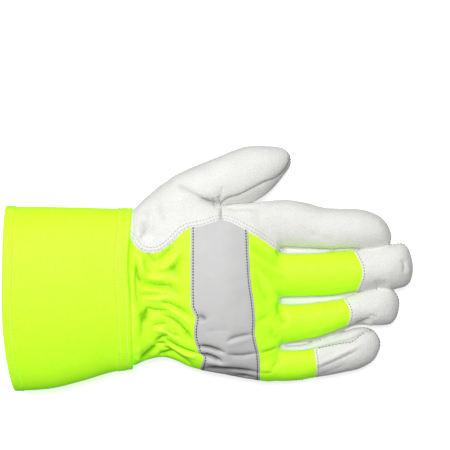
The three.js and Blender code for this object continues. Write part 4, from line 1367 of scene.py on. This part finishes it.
def sew(name, rows, material, pitch=STITCH_PITCH, radius=THREAD_RADIUS):
    """One object with every stitch of the given rows, each a pair of surface points and normals."""
    points, faces = [], []
    for row_points, row_out in rows:
        if len(row_points) < 2:
            continue
        for start, end, out in zip(*evenly(row_points, row_out, pitch)):
            ahead = end - start
            side = np.cross(out, ahead)
            side = side / max(np.linalg.norm(side), 1e-9)
            up = np.cross(ahead, side)
            up = up / max(np.linalg.norm(up), 1e-9)
            first = len(points) * len(STITCH_POINTS)
            along, across, rise = STITCH_POINTS.T
            made = (start + end) / 2 + np.outer(along, ahead) + radius * (
                np.outer(across, side) + np.outer(rise, up))
            points.append(made)
            faces += [tuple(first + i for i in face) for face in STITCH_FACES]
    points = np.vstack(points)
    points[:, 2] = np.maximum(points[:, 2], 0.0)
    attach(new_object(name, points, faces, material), "root")


def surface_tree(names):
    """The outer surfaces of several pieces, to cast rays at."""
    points, triangles, count = [], [], 0
    for name in names:
        points.append(OUTER[name][0])
        triangles.append(OUTER[name][1] + count)
        count += len(OUTER[name][0])
    return BVHTree.FromPolygons(np.vstack(points).tolist(), np.vstack(triangles).tolist())


def laid(tree, line, from_above=True):
    """A line in plan laid on the surface, split where the surface stops."""
    start = 90.0 if from_above else -20.0
    way = Vector((0, 0, -1 if from_above else 1))
    rows, points, out = [], [], []
    for x, y in line:
        place, normal, _, _ = tree.ray_cast(Vector((x, y, start)), way)
        if place is None:
            if len(points) > 2:
                rows.append((np.array(points), np.array(out)))
            points, out = [], []
            continue
        if normal.dot(way) > 0:
            normal = -normal
        points.append(tuple(place))
        out.append(tuple(normal))
    if len(points) > 2:
        rows.append((np.array(points), np.array(out)))
    return rows


def beside(line, distance):
    """A line moved sideways, to its left where the distance is above zero."""
    way = np.gradient(line, axis=0)
    way /= np.maximum(np.hypot(*way.T), 1e-9)[:, None]
    return smooth_line(line + distance * np.column_stack([-way[:, 1], way[:, 0]]), 1.0)


def cuff_row(x, grow):
    """A closed row round the cuff, on a wall that is grown by a function of the place."""
    angles = cuff_angles()
    inner, outer = cuff_ring(x, grow(x), angles), cuff_ring(x, grow(x) + 1, angles)
    out = outer - inner
    out /= np.linalg.norm(out, axis=1)[:, None]
    return np.vstack([inner, inner[:1]]), np.vstack([out, out[:1]])


def level_lines(points, triangles, values, level):
    """The lines on a surface where its values pass a level, as chains of points and normals."""
    over = values > level
    crossing = triangles[np.ptp(over[triangles].astype(int), axis=1) > 0]
    ends = np.sort(np.vstack([crossing[:, [0, 1]], crossing[:, [1, 2]], crossing[:, [2, 0]]]), axis=1)
    cut = over[ends[:, 0]] != over[ends[:, 1]]
    edges, which = np.unique(ends[cut], axis=0, return_inverse=True)
    owner = np.tile(np.arange(len(crossing)), 3)[cut]
    pairs = which.ravel()[np.argsort(owner, kind="stable")].reshape(-1, 2)
    a, b = edges.T
    share = ((level - values[a]) / (values[b] - values[a]))[:, None]
    normals = normals_of(points, triangles)
    found = points[a] + share * (points[b] - points[a])
    out = normals[a] + share * (normals[b] - normals[a])
    beside_it = {}
    for first, second in pairs:
        beside_it.setdefault(int(first), []).append(int(second))
        beside_it.setdefault(int(second), []).append(int(first))
    chains, left = [], set(beside_it)
    loose_ends_first = sorted(left, key=lambda n: (len(beside_it[n]), n))
    for start in loose_ends_first:
        if start not in left:
            continue
        chain, here = [], start
        while here is not None:
            chain.append(here)
            left.discard(here)
            here = next((n for n in beside_it[here] if n in left), None)
        chains.append(chain[::2])
    return [(found[chain], out[chain]) for chain in chains if len(chain) > 6]


def kept_where(row, wanted):
    """The stretches of a row of points and normals that lie where they are wanted."""
    points, out = row
    kept = wanted(points)
    bounds = np.flatnonzero(np.diff(np.concatenate([[0], kept.astype(int), [0]])))
    return [(points[a:b], out[a:b]) for a, b in bounds.reshape(-1, 2) if b - a > 4]


def on_little_strip(points):
    """Beside the upper edge of the strip on the little finger's leather."""
    x, y, z = points.T
    first = TIP_LINES["little_tip"][:, 0].max()
    last = STRIP_OUTLINES["side_strip_ring_little"][:, 0].max() - STRIP_CLOSING / 2
    on_finger = y < np.interp(x, *RING_LITTLE_GAP.T)
    return (z > SIDE_STRIP_HIGH - 2) & (x > first) & (x < last) & on_finger


def past_wrist(points):
    return points[:, 0] > HAND_START + 3


def under_tab(line):
    """A row of stitches on the tab's underside."""
    points = np.column_stack([line, np.full(len(line), TAB_LOW)])
    return points, np.tile([0.0, 0.0, -1.0], (len(line), 1))


leather_back = surface_tree(["thumb_back", "index_back"])
tips = surface_tree(["middle_tip", "ring_tip", "little_tip"])
tape_surface = surface_tree(["reflective_band"])
palm_surface = surface_tree(["palm", "middle_front", "ring_front"])

edge_rows = []
for distance in LEATHER_STITCH_INSETS:
    edge_rows += laid(leather_back, beside(leather_edge, distance))
sew("leather_edge_stitches", edge_rows, PALE_THREAD)
tip_rows = []
for line in TIP_LINES.values():
    tip_rows += laid(tips, beside(line, TIP_STITCH_INSET))
sew("tip_stitches", tip_rows, SEAM_THREAD, pitch=2.4)
tape_rows = laid(tape_surface, beside(smooth_line(TAPE_LEFT), TAPE_STITCH_INSET))
tape_rows += laid(tape_surface, beside(smooth_line(TAPE_RIGHT), -TAPE_STITCH_INSET))
sew("tape_stitches", tape_rows, DARK_THREAD, pitch=2.3, radius=0.6)
seam_rows = laid(leather_back, beside(thumb_seam, THUMB_STITCH_INSET))
thumb_edge_row = np.linspace(wrist_edge[-1], thumb_edge[0], 20) + [THUMB_EDGE_STITCH_INSET, 0]
seam_rows += laid(leather_back, thumb_edge_row)
sew("thumb_seam_stitches", seam_rows, SEAM_THREAD, pitch=2.0)
cuff_rows = [cuff_row(HEM_STITCH, hem_grow)] + [cuff_row(x, join_grow) for x in JOIN_ROWS]
sew("cuff_stitches", cuff_rows, CUFF_THREAD)

# Seams sewn from outside: along the glove's sides, beside a strip and across two fingers
side_rows = []
side_surface = shaped + shaped_normals * SIDE_STITCH_LIFT
for row in level_lines(side_surface, skin_faces, above, -SIDE_STITCH_DROP):
    side_rows += kept_where(row, past_wrist)
strip_surface = shaped + shaped_normals * STRIP_STITCH_LIFT
for row in level_lines(strip_surface, skin_faces, between_fingers, -STRIP_STITCH_INSET):
    side_rows += kept_where(row, on_little_strip)
front_line = np.linspace((front_x, MIDDLE_SIDE_Y), (front_x, RING_SIDE_Y), 40)
for distance in (-FRONT_STITCH_INSET, FRONT_STITCH_INSET):
    side_rows += laid(palm_surface, front_line + [distance, 0], from_above=False)
sew("side_seam_stitches", side_rows, SEAM_THREAD)

# The tab's edge row starts at a corner of its root, and three rows run across it at the join
tab_edge = tab_ring(TAB_STITCH, 0)[:, :2]
tab_edge = np.roll(tab_edge, -np.argmax(tab_edge[:, 0] + 0.01 * tab_edge[:, 1]), axis=0)
across_tab = np.linspace(TAB_STITCH - TAB_WIDTH / 2, TAB_WIDTH / 2 - TAB_STITCH, TAB_ROW_POINTS)
tab_rows = [under_tab(tab_edge)]
for x in (*JOIN_ROWS, JOIN_ROWS[0] + TAB_ROW_GAP):
    tab_rows.append(under_tab(np.column_stack([np.full(TAB_ROW_POINTS, x), across_tab])))
sew("tab_stitches", tab_rows, SEAM_THREAD)


# Floor, camera and lights
FLOOR_DROP = 0.0005
LIGHTS_AIM = (0.01, 0.02, 0.0)
CAMERA_PLACE = (0.0117, 0.0345, 1.3)


def studio_floor():
    select_only()
    bpy.ops.mesh.primitive_plane_add(size=8, location=(0, 0, -FLOOR_DROP))
    floor = bpy.context.object
    bpy.ops.object.transform_apply(location=True)
    floor.name = "floor"
    floor.visible_diffuse = False
    floor.visible_glossy = False
    floor.data.materials.append(studio_white())


def soft_light(name, place, size, power):
    light = bpy.data.lights.new(name, "AREA")
    light.shape = "DISK"
    light.size = size
    light.energy = power
    made = bpy.data.objects.new(name, light)
    made.location = place
    aim = Vector(LIGHTS_AIM) - Vector(place)
    made.rotation_euler = aim.to_track_quat("-Z", "Y").to_euler()
    bpy.context.scene.collection.objects.link(made)


studio_floor()
soft_light("overhead", (-0.1, 0.45, 1.4), size=0.7, power=15.5)
soft_light("upper_left", (-0.6, 0.7, 0.95), size=0.55, power=3.5)

world = bpy.data.worlds.new("studio")
bpy.context.scene.world = world
world.use_nodes = True
background = world.node_tree.nodes["Background"]
background.inputs["Color"].default_value = (1, 1, 1, 1)
background.inputs["Strength"].default_value = 0.17

# The camera looks straight down, as the photograph's does
camera_data = bpy.data.cameras.new("camera")
camera_data.sensor_width = 36
camera_data.lens = 128
camera = bpy.data.objects.new("camera", camera_data)
camera.location = CAMERA_PLACE
bpy.context.scene.collection.objects.link(camera)
bpy.context.scene.camera = camera
bpy.context.scene.view_settings.view_transform = "Standard"
